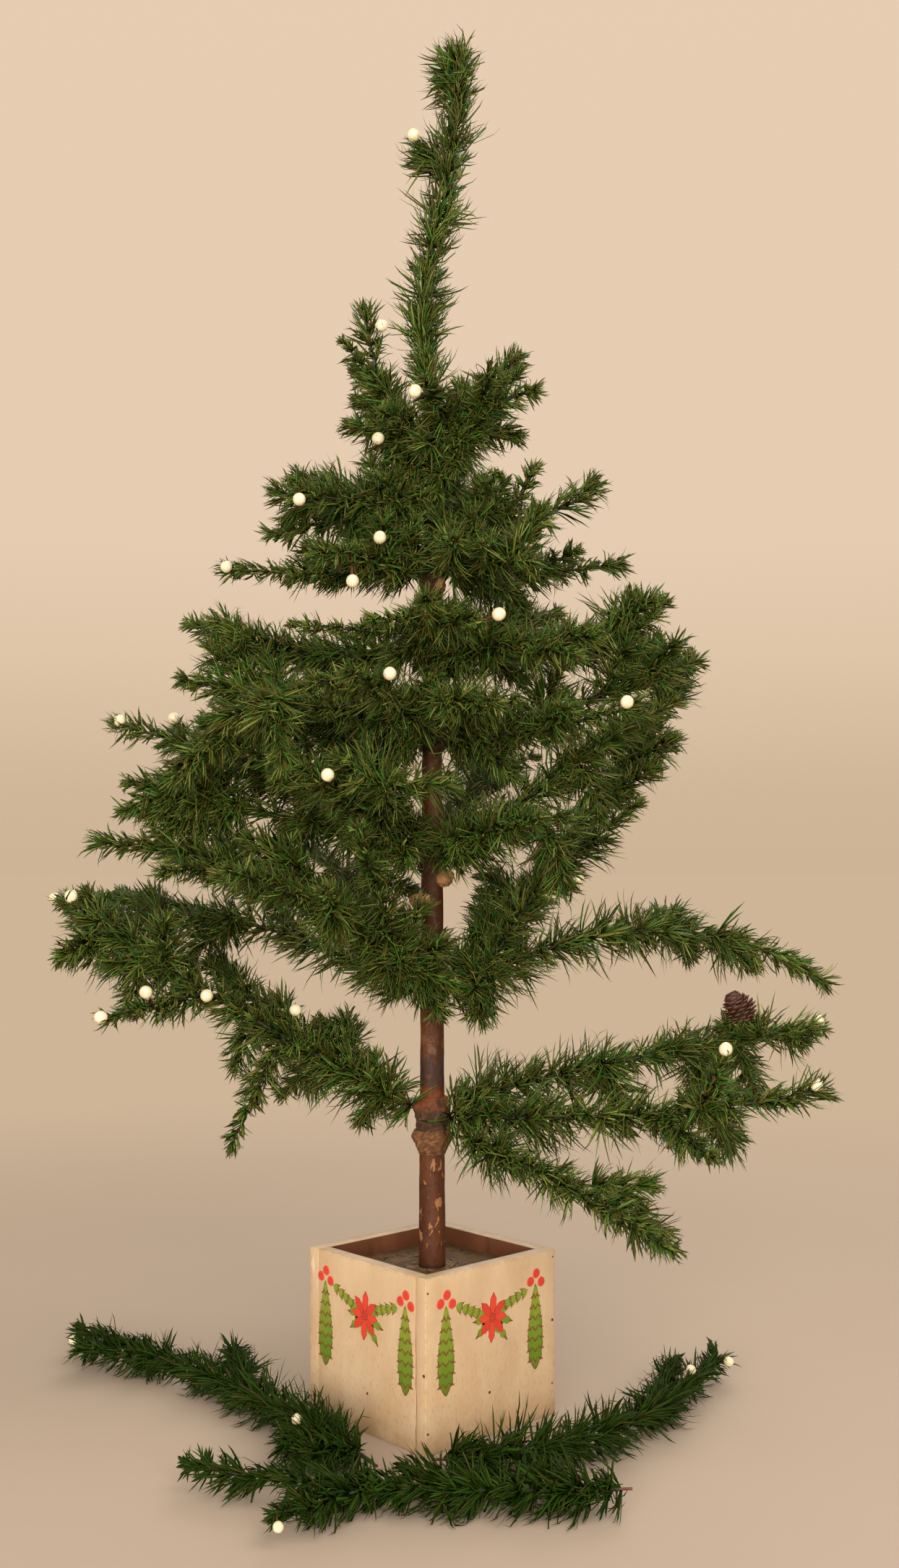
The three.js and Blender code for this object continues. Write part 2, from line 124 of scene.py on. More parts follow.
class Nodes:  # one node tree
    def __init__(self, tree):
        self.tree = tree

    def add(self, kind, settings={}, inputs={}, output=0):
        node = self.tree.nodes.new(kind)
        for key, value in settings.items():
            setattr(node, key, value)
        for key, value in inputs.items():
            self.feed(node.inputs[key], value)
        return Wire(self, node.outputs[output])

    def feed(self, socket, value):
        if isinstance(value, Wire):
            self.tree.links.new(value.socket, socket)
        else:
            socket.default_value = value


class Look(Nodes):  # one material
    def __init__(self, name, **sockets):
        self.material = bpy.data.materials.new(name)
        self.material.use_nodes = True
        super().__init__(self.material.node_tree)
        self.shader = self.tree.nodes["Principled BSDF"]
        for socket, value in sockets.items():
            self.shader.inputs[socket.replace("_", " ")].default_value = value
        self.place = self.add("ShaderNodeTexCoord", output=3)

    def axes(self):
        split = self.add("ShaderNodeSeparateXYZ", inputs={0: self.place})
        return [Wire(self, socket) for socket in split.socket.node.outputs]

    def noise(self, scale, detail=3.0, stretch=(1, 1, 1), roughness=0.55, distortion=0.0):
        where = self.add("ShaderNodeMapping", inputs={0: self.place, 3: stretch})
        sockets = {"Vector": where, "Scale": scale, "Detail": detail, "Roughness": roughness}
        return self.add("ShaderNodeTexNoise", inputs={**sockets, "Distortion": distortion})

    def attribute(self, name):
        return self.add("ShaderNodeAttribute", {"attribute_name": name}, output=2)

    def mix(self, factor, first, second, blend="MIX"):
        settings = {"data_type": "RGBA", "blend_type": blend}
        return self.add("ShaderNodeMix", settings, {0: factor, 6: colour(first), 7: colour(second)}, 2)

    def over(self, base, *layers):  # each layer is a mask and the colour that it brings
        for mask, tone in layers:
            base = self.mix(mask, base, tone)
        return base

    def paint(self, base, roughness=None, height=None, depth=0.0002, strength=0.6):
        self.feed(self.shader.inputs["Base Color"], colour(base))
        if roughness is not None:
            self.feed(self.shader.inputs["Roughness"], roughness)
        if height is not None:
            sockets = {"Strength": strength, "Distance": depth, "Height": height}
            self.feed(self.shader.inputs["Normal"], self.add("ShaderNodeBump", inputs=sockets))
        return self.material

    def fadeTo(self, factor, tone):  # the surface turns into plain light, as a backdrop does
        glow = self.add("ShaderNodeEmission", inputs={0: colour(tone), 1: 1.0})
        surface = Wire(self, self.shader.outputs[0])
        blend = self.add("ShaderNodeMixShader", inputs={0: factor, 1: surface, 2: glow})
        self.feed(self.tree.nodes["Material Output"].inputs["Surface"], blend)


def colour(value):  # screen colours from 0 to 255 become linear ones
    if isinstance(value, Wire):
        return value
    linear = [(c / 255 / 12.92) if c <= 10 else ((c / 255 + 0.055) / 1.055) ** 2.4 for c in value]
    return (*linear, 1.0)


# Finishes

featherColours = {
    # light is partly a random lighter tone of the barbs and partly a painted highlight
    "dark": (55, 54, 14), "mid": (96, 97, 34), "light": (130, 141, 62), "dry": (136, 128, 68),
    # brown is partly a random brown tone of the barbs and partly a painted warm reflection of the backdrop
    # shade is a painted shade that darkens the loose branches lying on the floor
    "deep": (34, 58, 13), "fresh": (62, 106, 33), "brown": (84, 72, 36), "shade": (30, 44, 0),
}


def featherLook(name, gloss, fallen):  # the loose branches on the floor are greener and duller, and a painted shade makes them darker
    look = Look(name, Roughness=0.45, Specular_IOR_Level=gloss)
    tone, run, tones = look.attribute("tone"), look.attribute("run"), featherColours
    hue = look.add("ShaderNodeTexWhiteNoise", {"noise_dimensions": "1D"}, {"W": tone})
    olive = look.mix(tone.ease(0.0, 0.8), tones["dark"], tones["mid"])
    green = look.mix(tone.ease(0.0, 0.8), tones["deep"], tones["fresh"])
    dyed = look.over(
        look.mix(hue.ease(0.5, 0.72).most(fallen * 0.7), olive, green),
        # a few brownish barbs: partly a random brown tone, partly a painted warm reflection of the backdrop
        ((1 - hue).ease(0.88, 0.95) * 0.8, tones["brown"]),
        # lighter tips on the high-tone barbs: partly a random lighter tone, partly a painted highlight in place of
        # a glossy sheen
        (tone.ease(0.58, 1.0) * run.ease(0.1, 0.6) * 0.8, tones["light"]),
        (run.ease(0.78, 1.0) * tone.ease(0.8, 0.98), tones["dry"]),
        # painted shade: the loose branches on the floor are pulled towards the shade colour
        (fallen * 0.25, tones["shade"]),
    )
    grain = look.mix(look.noise(900, 2).ease(0.3, 0.7), (222, 222, 222), (255, 255, 255))
    return look.paint(look.mix(1.0, dyed, grain, "MULTIPLY"))


def wornLook(name, scale, detail, first, second, depth, span=None, **sockets):
    look = Look(name, **sockets)
    worn = look.noise(scale, detail)
    worn = worn.ease(*span) if span else worn
    return look.paint(look.mix(worn, first, second), None, worn, depth)


def nailLook():
    look = Look("nailHead", Roughness=0.6, Metallic=0.4)
    rust = look.noise(1500, 3)
    return look.paint(look.mix(rust.ease(0.35, 0.65), (58, 40, 28), (98, 58, 34)), None, rust, 0.0001)


def berryLook():
    coat = {"Coat_Weight": 0.4, "Coat_Roughness": 0.15}
    look = Look("lacqueredBerry", Roughness=0.28, Subsurface_Weight=0.1, Subsurface_Scale=0.002, **coat)
    clouded = look.noise(240, 3).ease(0.3, 0.7)
    aged = look.over(
        look.mix(clouded, (236, 220, 186), (220, 200, 158)),
        (look.noise(620, 4).ease(0.62, 0.74) * 0.5, (170, 132, 84)),
        (look.attribute("run").ease(0.5, 1.0) * 0.8, (122, 70, 40)),
    )
    return look.paint(aged, None, clouded, 0.00008, 0.3)


# Heights in metres at which each stain starts and is full, and at which it is gone and still full
stains = {
    "soot": (0.214, 0.222, 0.246, 0.234), "mottle": (0.234, 0.244, 0.29, 0.272),
    "rubbed": (0.2, 0.206, 0.219, 0.213), "chips": (0.108, 0.118, 0.18, 0.165),
    "rubbedPaper": (0.201, 0.205, 0.222, 0.214),
}


def trunkLook():
    look = Look("trunkBark", Roughness=0.62, Specular_IOR_Level=0.22)
    z = look.axes()[2]
    broad, fine = look.noise(60, 5, (1, 1, 0.35)), look.noise(150, 4)
    flakes = look.noise(260, 3, (1, 1, 0.5), 0.5, 0.4)
    stained = look.over(
        look.mix(broad.ease(0.35, 0.65), (64, 31, 13), (88, 48, 23)),
        (z.band(*stains["soot"]) * fine.ease(0.3, 0.5) * 0.85, (52, 37, 28)),
        (z.band(*stains["mottle"]) * fine.ease(0.52, 0.6) * 0.6, (108, 74, 48)),
        (z.band(*stains["rubbed"]) * broad.ease(0.3, 0.45) * 0.8, (112, 55, 24)),
        (flakes.ease(0.6, 0.635) * (z.band(*stains["chips"]) * 0.85 + 0.12), (148, 100, 62)),
        (z.ease(0.32, 0.5) * 0.6, (82, 50, 26)),
        (look.noise(300, 4).ease(0.56, 0.7) * 0.6, (40, 22, 11)),
        # darker just above the lid: a painted shade where the trunk meets it
        (z.ease(lidTop + 0.003, lidTop + 0.0005) * 0.8, (40, 24, 15)),
    )
    grain = look.noise(420, 5, (1, 1, 0.3)) + flakes * 0.8
    return look.paint(stained, look.noise(200, 3).ease(0.3, 0.7, 0.5, 0.75), grain, 0.0008, 0.7)


def paperLook():
    look = Look("crumpledPaper", Roughness=0.8, Specular_IOR_Level=0.3)
    z = look.axes()[2]
    folds = look.noise(210, 5, (1, 1, 1.4), 0.6, 0.8)
    stained = look.noise(80, 3).ease(0.35, 0.65)
    low = z.ease(0.191, 0.187)  # only the collar under the lowest whorl is still tan
    brown, tan = look.mix(stained, (72, 45, 25), (52, 33, 18)), look.mix(stained, (98, 62, 35), (80, 48, 26))
    aged = look.over(
        look.mix(low, brown, tan),
        (z.band(*stains["rubbedPaper"]) * look.noise(70, 3).ease(0.3, 0.42) * 0.75, (108, 55, 25)),
        (folds.ease(0.45, 0.62) * (0.22 + low * 0.6), (128, 88, 54)),
        (look.noise(330, 4).ease(0.56, 0.68) * 0.75, (46, 29, 17)),
    )
    return look.paint(aged, None, folds, 0.0012, 0.8)


def stubLook():
    look = Look("tanPaper", Roughness=0.75)
    folds = look.noise(260, 4, (1, 1, 0.7), 0.6, 0.6)
    base = look.mix(folds.ease(0.35, 0.65), (182, 134, 82), (138, 90, 50))
    spotted = look.mix(look.noise(420, 3).ease(0.55, 0.7) * 0.6, base, (84, 50, 28))
    return look.paint(spotted, None, folds, 0.0008, 0.8)


boxSizes = {
    "side": 116, "height": 110, "inner": 49.25, "edge": 0.5, "warp": 0.12, "warpPitch": 0.045,
    "crack": 49, "chip": (-54.5, 98),  # on its front, from the middle and the foot
}


def boardLook():
    look = Look("creamPaint", Specular_IOR_Level=0.35)
    x, y, z = look.axes()
    half, height, inner = boxSizes["side"] / 2 * mm, boxSizes["height"] * mm, boxSizes["inner"] * mm
    sideX, sideY = half - abs(x), half - abs(y)
    endZ = z.least(height - z)
    edge = sideX.least(sideY).most(sideX.most(sideY).least(endZ))  # distance to the nearest box edge
    front = y.ease(0.001 - half, 0.0005 - half)
    inside = abs(x).ease(inner + 0.0002, inner - 0.0002) * abs(y).ease(inner + 0.0002, inner - 0.0002)
    rim = z.ease(height - 0.0009, height - 0.0003)
    grain = look.noise(300, 4, (1, 1, 0.07), 0.6)
    mottle = look.noise(34, 5, (1, 1, 0.6), 0.6, 0.3).ease(0.3, 0.7)
    speck = look.noise(760, 3, (1, 1, 0.3))
    lower = z.ease(0.085, 0.03)
    crooked = look.noise(60, 2).ease(0.3, 0.7, -0.0004, 0.0004)
    crack = abs(x + crooked - boxSizes["crack"] * mm).ease(0.0006, 0.0002) * front
    spotX, spotZ = [abs(axis - place * mm) for axis, place in zip((x, z), boxSizes["chip"])]
    chip = (spotX + spotZ * 0.4 + look.noise(300, 2) * 0.002).ease(0.0038, 0.0032) * front
    blotch = look.noise(34, 2, (1, 1, 0.5)).ease(0.52, 0.64)
    stain = look.mix(blotch * 0.8, look.mix(mottle, (108, 64, 38), (92, 52, 29)), (44, 25, 15))
    aged = look.over(
        look.mix(mottle, (202, 174, 139), (190, 159, 123)),
        (grain.ease(0.5, 0.75) * (0.12 + lower * 0.2), (190, 150, 106)),
        (speck.ease(0.56, 0.66) * (0.1 + lower * 0.34), (168, 122, 82)),
        (look.noise(16, 4, (1, 1, 1), 0.6).ease(0.52, 0.72) * 0.3, (198, 154, 104)),
        (z.ease(0.02, 0.0) * look.noise(60, 4).ease(0.35, 0.65) * 0.7, (172, 140, 96)),
        (edge.ease(0.003, 0.0) * look.noise(190, 4).ease(0.42, 0.6) * 0.4, (168, 132, 92)),
        (crack * (z.ease(0.09, 0.05) * 0.5 + 0.25), (92, 62, 40)),
        (chip * 0.6, (224, 204, 172)),
        (rim * look.noise(150, 4).ease(0.45, 0.7) * 0.4, (176, 148, 110)),
        (inside * (1 - rim), stain),
    )
    rough = look.noise(120, 3).ease(0.3, 0.7, 0.42, 0.62)
    return look.paint(aged, rough, grain * 0.6 + speck * 0.4, 0.0003, 0.5)


def lidLook():
    look = Look("stainedLid", Roughness=0.85, Specular_IOR_Level=0.25)
    x, y = look.axes()[:2]
    grain = look.noise(120, 5, (1, 0.12, 1), 0.6)
    rubbed = ((x * x + y * y) ** 0.5).ease(0.02, 0.0105) * look.noise(300, 4).ease(0.48, 0.6)
    aged = look.over(
        look.mix(grain.ease(0.35, 0.65), (112, 80, 50), (86, 60, 36)),
        (look.noise(70, 5).ease(0.45, 0.65) * 0.5, (130, 102, 70)),
        (rubbed * 0.7, (176, 140, 98)),
        (look.noise(420, 3).ease(0.56, 0.66) * 0.75, (46, 34, 20)),
    )
    return look.paint(aged, None, look.noise(340, 5) + grain, 0.0008, 0.7)


def flatLook(name, inner, outer, line=(0.45, 1.0)):
    look = Look(name, Roughness=0.55)
    tone, rim = look.attribute("tone"), look.attribute("run")
    grain = look.noise(700, 3)
    printed = look.over(
        look.mix(tone, inner[0], inner[1]), (rim.ease(*line), outer), (grain.ease(0.55, 0.8) * 0.25, outer)
    )
    return look.paint(printed, None, grain, 0.00005, 0.3)


def coneLook():
    look = Look("coneScale", Roughness=0.6, Specular_IOR_Level=0.35)
    tone, run = look.attribute("tone"), look.attribute("run")
    edged = look.over(look.mix(tone, (74, 40, 26), (46, 25, 16)), (run.ease(0.55, 1.0) * 0.75, (112, 70, 46)))
    return look.paint(edged, None, look.noise(900, 4), 0.0003, 0.6)


looks = {
    "feather": featherLook("dyedFeather", 0.18, 0.0), "fallen": featherLook("fallenFeather", 0.05, 1.0),
    "quill": wornLook("wrappedQuill", 700, 3, (24, 30, 8), (52, 54, 22), 0.0002, (0.35, 0.65), Roughness=0.7),
    "wire": wornLook("wireEnd", 600, 3, (104, 48, 26), (64, 34, 20), 0.0001, (0.4, 0.65), Roughness=0.6),
    "peg": wornLook("berryPeg", 900, 2, (128, 44, 28), (74, 30, 18), 0.0001, Roughness=0.55),
    "berry": berryLook(), "trunk": trunkLook(), "paper": paperLook(), "stub": stubLook(), "board": boardLook(),
    "lid": lidLook(), "nail": nailLook(), "cone": coneLook(),
    "leaf": flatLook("printedLeaf", ((132, 142, 38), (84, 118, 16)), (104, 60, 18), (0.4, 0.9)),
    "petal": flatLook("printedPetal", ((206, 62, 38), (196, 54, 32)), (176, 44, 28), (0.8, 1.0)),
    "rim": flatLook("printedBerry", ((204, 58, 38), (196, 54, 36)), (206, 76, 54), (0.8, 1.0)),
    "body": flatLook("printedBody", ((108, 122, 26), (92, 114, 18)), (96, 92, 20), (0.85, 1.0)),
    "spike": flatLook("printedSpike", ((128, 92, 32), (112, 78, 26)), (100, 58, 22)),
    "dot": flatLook("printedDot", ((128, 30, 22), (112, 26, 20)), (96, 22, 16)),
}
print("finishes made")

# Mesh helpers


def templateOf(bm, **attributes):  # a bmesh as arrays that can be copied many times
    bm.verts.ensure_lookup_table()
    faces = [[vert.index for vert in face.verts] for face in bm.faces]
    points = np.array([vert.co for vert in bm.verts], float)
    made = {"points": points, "corners": np.concatenate(faces), "sizes": np.array([len(face) for face in faces])}
    made.update({name: np.array([rule(vert.co) for vert in bm.verts], float) for name, rule in attributes.items()})
    bm.free()
    return made


def copiesOf(template, points, tone, finish=0):
    count, size = points.shape[:2]
    corners = template["corners"][None, :] + (np.arange(count) * size)[:, None]
    run = np.broadcast_to(template["run"], (count, size)) if "run" in template else np.zeros((count, size))
    return {
        "points": points.reshape(-1, 3), "corners": corners.ravel(), "sizes": np.tile(template["sizes"], count),
        "tone": np.repeat(tone, size), "run": run.ravel(), "finish": finish,
    }


def meshFrom(name, parts, finishes):
    mesh = bpy.data.meshes.new(name)
    offsets = np.cumsum([0] + [len(part["points"]) for part in parts])
    corners = np.concatenate([part["corners"] + offset for part, offset in zip(parts, offsets)])
    sizes = np.concatenate([part["sizes"] for part in parts])
    points = np.concatenate([part["points"] for part in parts])
    mesh.vertices.add(len(points))
    mesh.vertices.foreach_set("co", (points * mm).ravel())
    mesh.loops.add(len(corners))
    mesh.loops.foreach_set("vertex_index", corners.astype(np.int32))
    mesh.polygons.add(len(sizes))
    mesh.polygons.foreach_set("loop_start", np.concatenate([[0], np.cumsum(sizes)[:-1]]).astype(np.int32))
    index = np.concatenate([np.full(len(part["sizes"]), part["finish"]) for part in parts])
    mesh.polygons.foreach_set("material_index", index.astype(np.int32))
    for key in ("tone", "run"):
        values = np.concatenate([part[key] for part in parts]).astype(np.float32)
        mesh.attributes.new(key, "FLOAT", "POINT").data.foreach_set("value", values)
    mesh.update(calc_edges=True)
    mesh.shade_smooth()
    for finish in finishes:
        mesh.materials.append(looks[finish])
    return objectOf(name, mesh)


def settle(obj, body, nodes=()):
    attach(obj, body)
    if nodes:
        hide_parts(*nodes)
    return obj


def pieceOf(name, bm, finish):
    bmesh.ops.recalc_face_normals(bm, faces=bm.faces)
    bmesh.ops.scale(bm, vec=(mm, mm, mm), verts=bm.verts)
    mesh = bpy.data.meshes.new(name)
    bm.to_mesh(mesh)
    bm.free()
    mesh.shade_smooth()
    mesh.materials.append(looks[finish])
    return objectOf(name, mesh)


def tubeParts(paths, sides, finish, tone=0.4):  # each path is a list of points with their radii
    curve = bpy.data.curves.new("path", "CURVE")
    curve.dimensions = "3D"
    curve.bevel_depth = 1.0
    curve.bevel_resolution = max(0, sides // 2 - 2)
    curve.use_fill_caps = True
    for points, radii in paths:
        spline = curve.splines.new("POLY")
        spline.points.add(len(points) - 1)
        for target, place, radius in zip(spline.points, points, radii):
            target.co = (*place, 1.0)
            target.radius = radius
    obj = objectOf("path", curve)
    mesh = bpy.data.meshes.new_from_object(obj.evaluated_get(bpy.context.evaluated_depsgraph_get()))

    def values(rows, key, kind, each=1):
        found = np.zeros(len(rows) * each, kind)
        rows.foreach_get(key, found)
        return found

    count = len(mesh.vertices)
    part = {
        "points": values(mesh.vertices, "co", np.float64, 3).reshape(-1, 3),
        "corners": values(mesh.loops, "vertex_index", np.int32),
        "sizes": values(mesh.polygons, "loop_total", np.int32),
        "finish": finish, "tone": np.full(count, tone), "run": np.zeros(count),
    }
    bpy.data.objects.remove(obj)
    bpy.data.curves.remove(curve)
    bpy.data.meshes.remove(mesh)
    return part


# Room

room = {
    "floor": (184, 164, 145), "worn": (176, 157, 140), "faded": (206, 181, 152), "reach": 30, "fade": (0.5, 1.5),
    "wall": [  # its colour from the horizon up
        (0.0, (205, 180, 151)), (0.04, (207, 182, 153)), (0.13, (223, 198, 169)), (0.2, (230, 205, 178)),
        (1.0, (232, 207, 180)),
    ],
    "light": (255, 246, 232), "brightness": 0.5,
}


def makeFloor():
    bm = bmesh.new()
    bmesh.ops.create_grid(bm, x_segments=2, y_segments=2, size=room["reach"])
    mesh = bpy.data.meshes.new("floor")
    bm.to_mesh(mesh)
    bm.free()
    look = Look("paleFloor", Roughness=0.75, Specular_IOR_Level=0.2)
    x, y = look.axes()[:2]
    look.paint(look.mix(look.noise(6, 3).ease(0.3, 0.7) * 0.12, room["floor"], room["worn"]))
    seen = look.add("ShaderNodeLightPath")
    look.fadeTo(((x * x + y * y) ** 0.5).ease(*room["fade"]) * seen, room["faded"])
    mesh.materials.append(look.material)
    objectOf("floor", mesh)


def makeWall():
    scene.world = bpy.data.worlds.new("studio")
    scene.world.use_nodes = True
    sky = Nodes(scene.world.node_tree)
    light = sky.add("ShaderNodeBackground", inputs={0: colour(room["light"]), 1: room["brightness"]})
    height = sky.add("ShaderNodeSeparateXYZ", inputs={0: sky.add("ShaderNodeTexCoord")}, output=2)
    ramp = sky.add("ShaderNodeValToRGB", inputs={0: height})
    stops = ramp.socket.node.color_ramp.elements
    for index, (place, tone) in enumerate(room["wall"]):
        stop = stops[index] if index < 2 else stops.new(place)
        stop.position = place
        stop.color = colour(tone)
    wall = sky.add("ShaderNodeBackground", inputs={0: ramp})
    seen = sky.add("ShaderNodeLightPath")
    choice = sky.add("ShaderNodeMixShader", inputs={0: seen, 1: light, 2: wall})
    sky.feed(sky.tree.nodes["World Output"].inputs["Surface"], choice)


lamps = [
    {"name": "keyLamp", "bearing": 12, "distance": 2.1, "height": 0.95, "size": 1.3, "power": 35},
    {"name": "fillLamp", "bearing": -17, "distance": 2.2, "height": 0.5, "size": 1.1, "power": 39},
    {"name": "topLamp", "bearing": 60, "distance": 1.0, "height": 2.2, "size": 1.6, "power": 16},
    {"name": "backLamp", "bearing": 170, "distance": 1.8, "height": 1.5, "size": 1.3, "power": 16},
]


def makeLamps():  # bearings are from the camera's side, to its right
    for row in lamps:
        data = bpy.data.lights.new(row["name"], "AREA")
        data.size = row["size"]
        data.energy = row["power"]
        data.color = (1.0, 0.955, 0.89)
        lamp = objectOf(row["name"], data)
        angle = math.radians(camera["facing"] - 90 + row["bearing"])
        lamp.location = (row["distance"] * math.cos(angle), row["distance"] * math.sin(angle), row["height"])
        aim = Vector((0, 0, 0.4)) - lamp.location
        lamp.rotation_euler = aim.to_track_quat("-Z", "Y").to_euler()


makeCamera()
makeFloor()
makeWall()
makeLamps()
print("camera and room made")

# Box

def boardPiece(name):
    low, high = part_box(name)
    bm = bmesh.new()
    bmesh.ops.create_cube(bm, size=1.0)
    bmesh.ops.scale(bm, vec=(high - low) / mm, verts=bm.verts)
    bmesh.ops.translate(bm, vec=(high + low) / 2 / mm, verts=bm.verts)
    rounding = {"segments": 3, "profile": 0.5, "affect": "EDGES", "material": -1}
    bmesh.ops.bevel(bm, geom=bm.edges[:], offset=boxSizes["edge"], **rounding)
    long = [edge for edge in bm.edges if edge.calc_length() > 20]
    bmesh.ops.subdivide_edges(bm, edges=long, cuts=11, use_grid_fill=True)
    for vert in bm.verts:  # hand-sawn boards are a little out of true
        vert.co += noise.noise_vector(vert.co * boxSizes["warpPitch"]) * boxSizes["warp"]
    piece = pieceOf(name.replace("board", "plank"), bm, "board")
    piece.data.set_sharp_from_angle(angle=math.radians(50))
    settle(piece, "stand", [name])


def makeBox():
    noise.seed_set(7)  # without a seed, noise_vector differs from run to run
    for name in ("side_board_right", "side_board_left", "end_board_front", "end_board_back"):
        boardPiece(name)
    for name in ("base_block", "inner_lid"):
        frame["nodes"][name].data.materials.clear()
        frame["nodes"][name].data.materials.append(looks["lid"])


# One face's garland, in millimetres from the face's left edge and down from its top
garland = {
    "lift": 0.14, "layer": 0.01, "sink": 0.03,
    "pendants": [(17.0, 21.0), (97.0, 21.5)], "pendantDrop": 55, "pendantWidth": 13.6, "pendantRows": 7,
    "pendantLeaf": (9.2, 0.86), "pendantMiddle": (9.0, 1.6, 0.7), "pendantSpike": (4.2, 1.5),
    "berries": [(-4.6, -3.6), (0.8, -8.2), (5.4, -2.0)], "berrySize": (3.4, 3.3),
    "swags": [((24.5, 20.5), (49.0, 31.5), 5), ((90.5, 22.5), (65.0, 30.0), 5)], "swagWidth": 5.8,
    "swagLeaf": (6.4, 3.0), "swagMiddle": (6.4, 3.2), "swagSpike": (7.6, 0.8),
    "flower": (57.5, 34.5), "petals": 8, "petalLength": (12.8, 3.4), "petalWidth": 6.4, "petalTurn": 4,
    "dots": 9, "dotRing": 2.6, "dotSize": 0.55,
    "hollies": [(180, 17.6), (216, 18.6), (308, 21.8), (343, 19.4), (20, 14)], "hollyWidth": 8.6,
}


def bladeTemplate(points, lobes=0, depth=0.0, full=0.8, rimFrom=-1.0, blunt=1.0):
    bm = bmesh.new()  # a flat leaf, one long and one wide, its root at zero
    bmesh.ops.create_circle(bm, cap_ends=True, cap_tris=True, segments=points, radius=1.0)
    for vert in bm.verts:
        if vert.co.length < 0.5:
            vert.co.y = 0.5
            continue
        angle = math.atan2(vert.co.x, vert.co.y)
        high = (1 + math.cos(angle)) / 2
        wave = 1 - depth * (0.5 + 0.5 * math.cos(lobes * angle))
        width = max(0, math.sin(math.pi * min(1, high ** full))) ** blunt * wave
        vert.co.x = math.copysign(width / 2, vert.co.x)
        vert.co.y = high
    lifted = bmesh.ops.extrude_face_region(bm, geom=bm.faces[:])["geom"]
    bmesh.ops.translate(bm, vec=(0, 0, 1), verts=[made for made in lifted if isinstance(made, bmesh.types.BMVert)])
    bmesh.ops.remove_doubles(bm, verts=bm.verts, dist=1e-5)
    bmesh.ops.recalc_face_normals(bm, faces=bm.faces)

    def run(co):  # how much of the outline's colour, from the given height up to the tip
        if abs(co.x) < 0.01 and abs(co.y - 0.5) < 0.1:
            return 0.0
        return min(1.0, max(0.0, (co.y - rimFrom) * 4))

    return templateOf(bm, run=run)


def discTemplate():
    bm = bmesh.new()
    bmesh.ops.create_cone(bm, cap_ends=True, cap_tris=True, segments=20, radius1=1, radius2=0.9, depth=1)
    bmesh.ops.translate(bm, vec=(0, 0, 0.5), verts=bm.verts)
    return templateOf(bm, run=lambda co: 1.0 if co.xy.length > 0.5 else 0.0)


def garlandRows():  # every leaf as [across, up, angle, length, width, layer, tone], by kind
    placed = {kind: [] for kind in ("body", "leaf", "petal", "holly", "rim", "spike", "dot")}

    def put(kind, spot, angle, length, width, layer, tone=0.5):
        placed[kind].append((spot[0], -spot[1], math.radians(angle), length, width, layer, tone))

    rows, drop, wide = garland["pendantRows"], garland["pendantDrop"], garland["pendantWidth"]
    length, narrow = garland["pendantLeaf"]
    middleLength, least, widen = garland["pendantMiddle"]
    for spotX, spotY in garland["pendants"]:
        put("body", (spotX, spotY - 2), 180, drop + 2, wide, 0)
        for row in range(rows):
            share = (row + 0.6) / (rows + 0.9)
            down = spotY + share * drop
            half = wide / 2 * math.sin(math.pi * share ** 1.6) ** 0.62
            layer = (rows - row) * 3
            for side in (-1, 1):
                at, end = (spotX + side * half * 0.5, down - 5), (spotX + side * half * 0.7, down + 1.5)
                put("leaf", at, 180 - side * 15, length, half * narrow, layer, share)
                put("spike", end, 180 - side * 62, *garland["pendantSpike"], layer - 1)
            put("leaf", (spotX, down - 4), 180, middleLength, least + half * widen, layer + 1, share)
        for right, down in garland["berries"]:
            put("rim", (spotX + right, spotY + down), 0, garland["berrySize"][1], garland["berrySize"][0], 32)
    for start, end, count in garland["swags"]:
        right, down = end[0] - start[0], end[1] - start[1]
        heading = math.degrees(math.atan2(right, -down))
        put("body", start, heading, math.hypot(right, down) * 1.15, garland["swagWidth"], 0)
        for row in range(count):
            share = (row + 0.3) / count
            spot = (start[0] + right * share, start[1] + down * share)
            layer = (count - row) * 3
            for side in (-1, 1):
                put("leaf", spot, heading + side * 30, *garland["swagLeaf"], layer, 0.2)
                put("spike", spot, heading + side * 36, *garland["swagSpike"], layer - 1)
            put("leaf", spot, heading, *garland["swagMiddle"], layer + 1, 0.2)
    flower = garland["flower"]
    for angle, length in garland["hollies"]:
        put("holly", flower, 90 - angle, length, garland["hollyWidth"], 20)
    short, more = garland["petalLength"]
    for petal in range(garland["petals"]):
        angle = petal * 360 / garland["petals"] + garland["petalTurn"]
        length = short + more * abs(math.cos(math.radians(angle))) ** 2
        put("petal", flower, angle, length, garland["petalWidth"], 24 + petal % 2, petal % 2)
    for dot in range(garland["dots"]):
        right, down = [garland["dotRing"] * turn(dot * 0.7) for turn in (math.cos, math.sin)]
        put("dot", (flower[0] + right, flower[1] + down), 0, garland["dotSize"], garland["dotSize"], 28)
    return placed


def turnAbout(points, turn):
    cosine, sine = math.cos(math.radians(turn)), math.sin(math.radians(turn))
    return points @ np.array([[cosine, sine, 0], [-sine, cosine, 0], [0, 0, 1]])


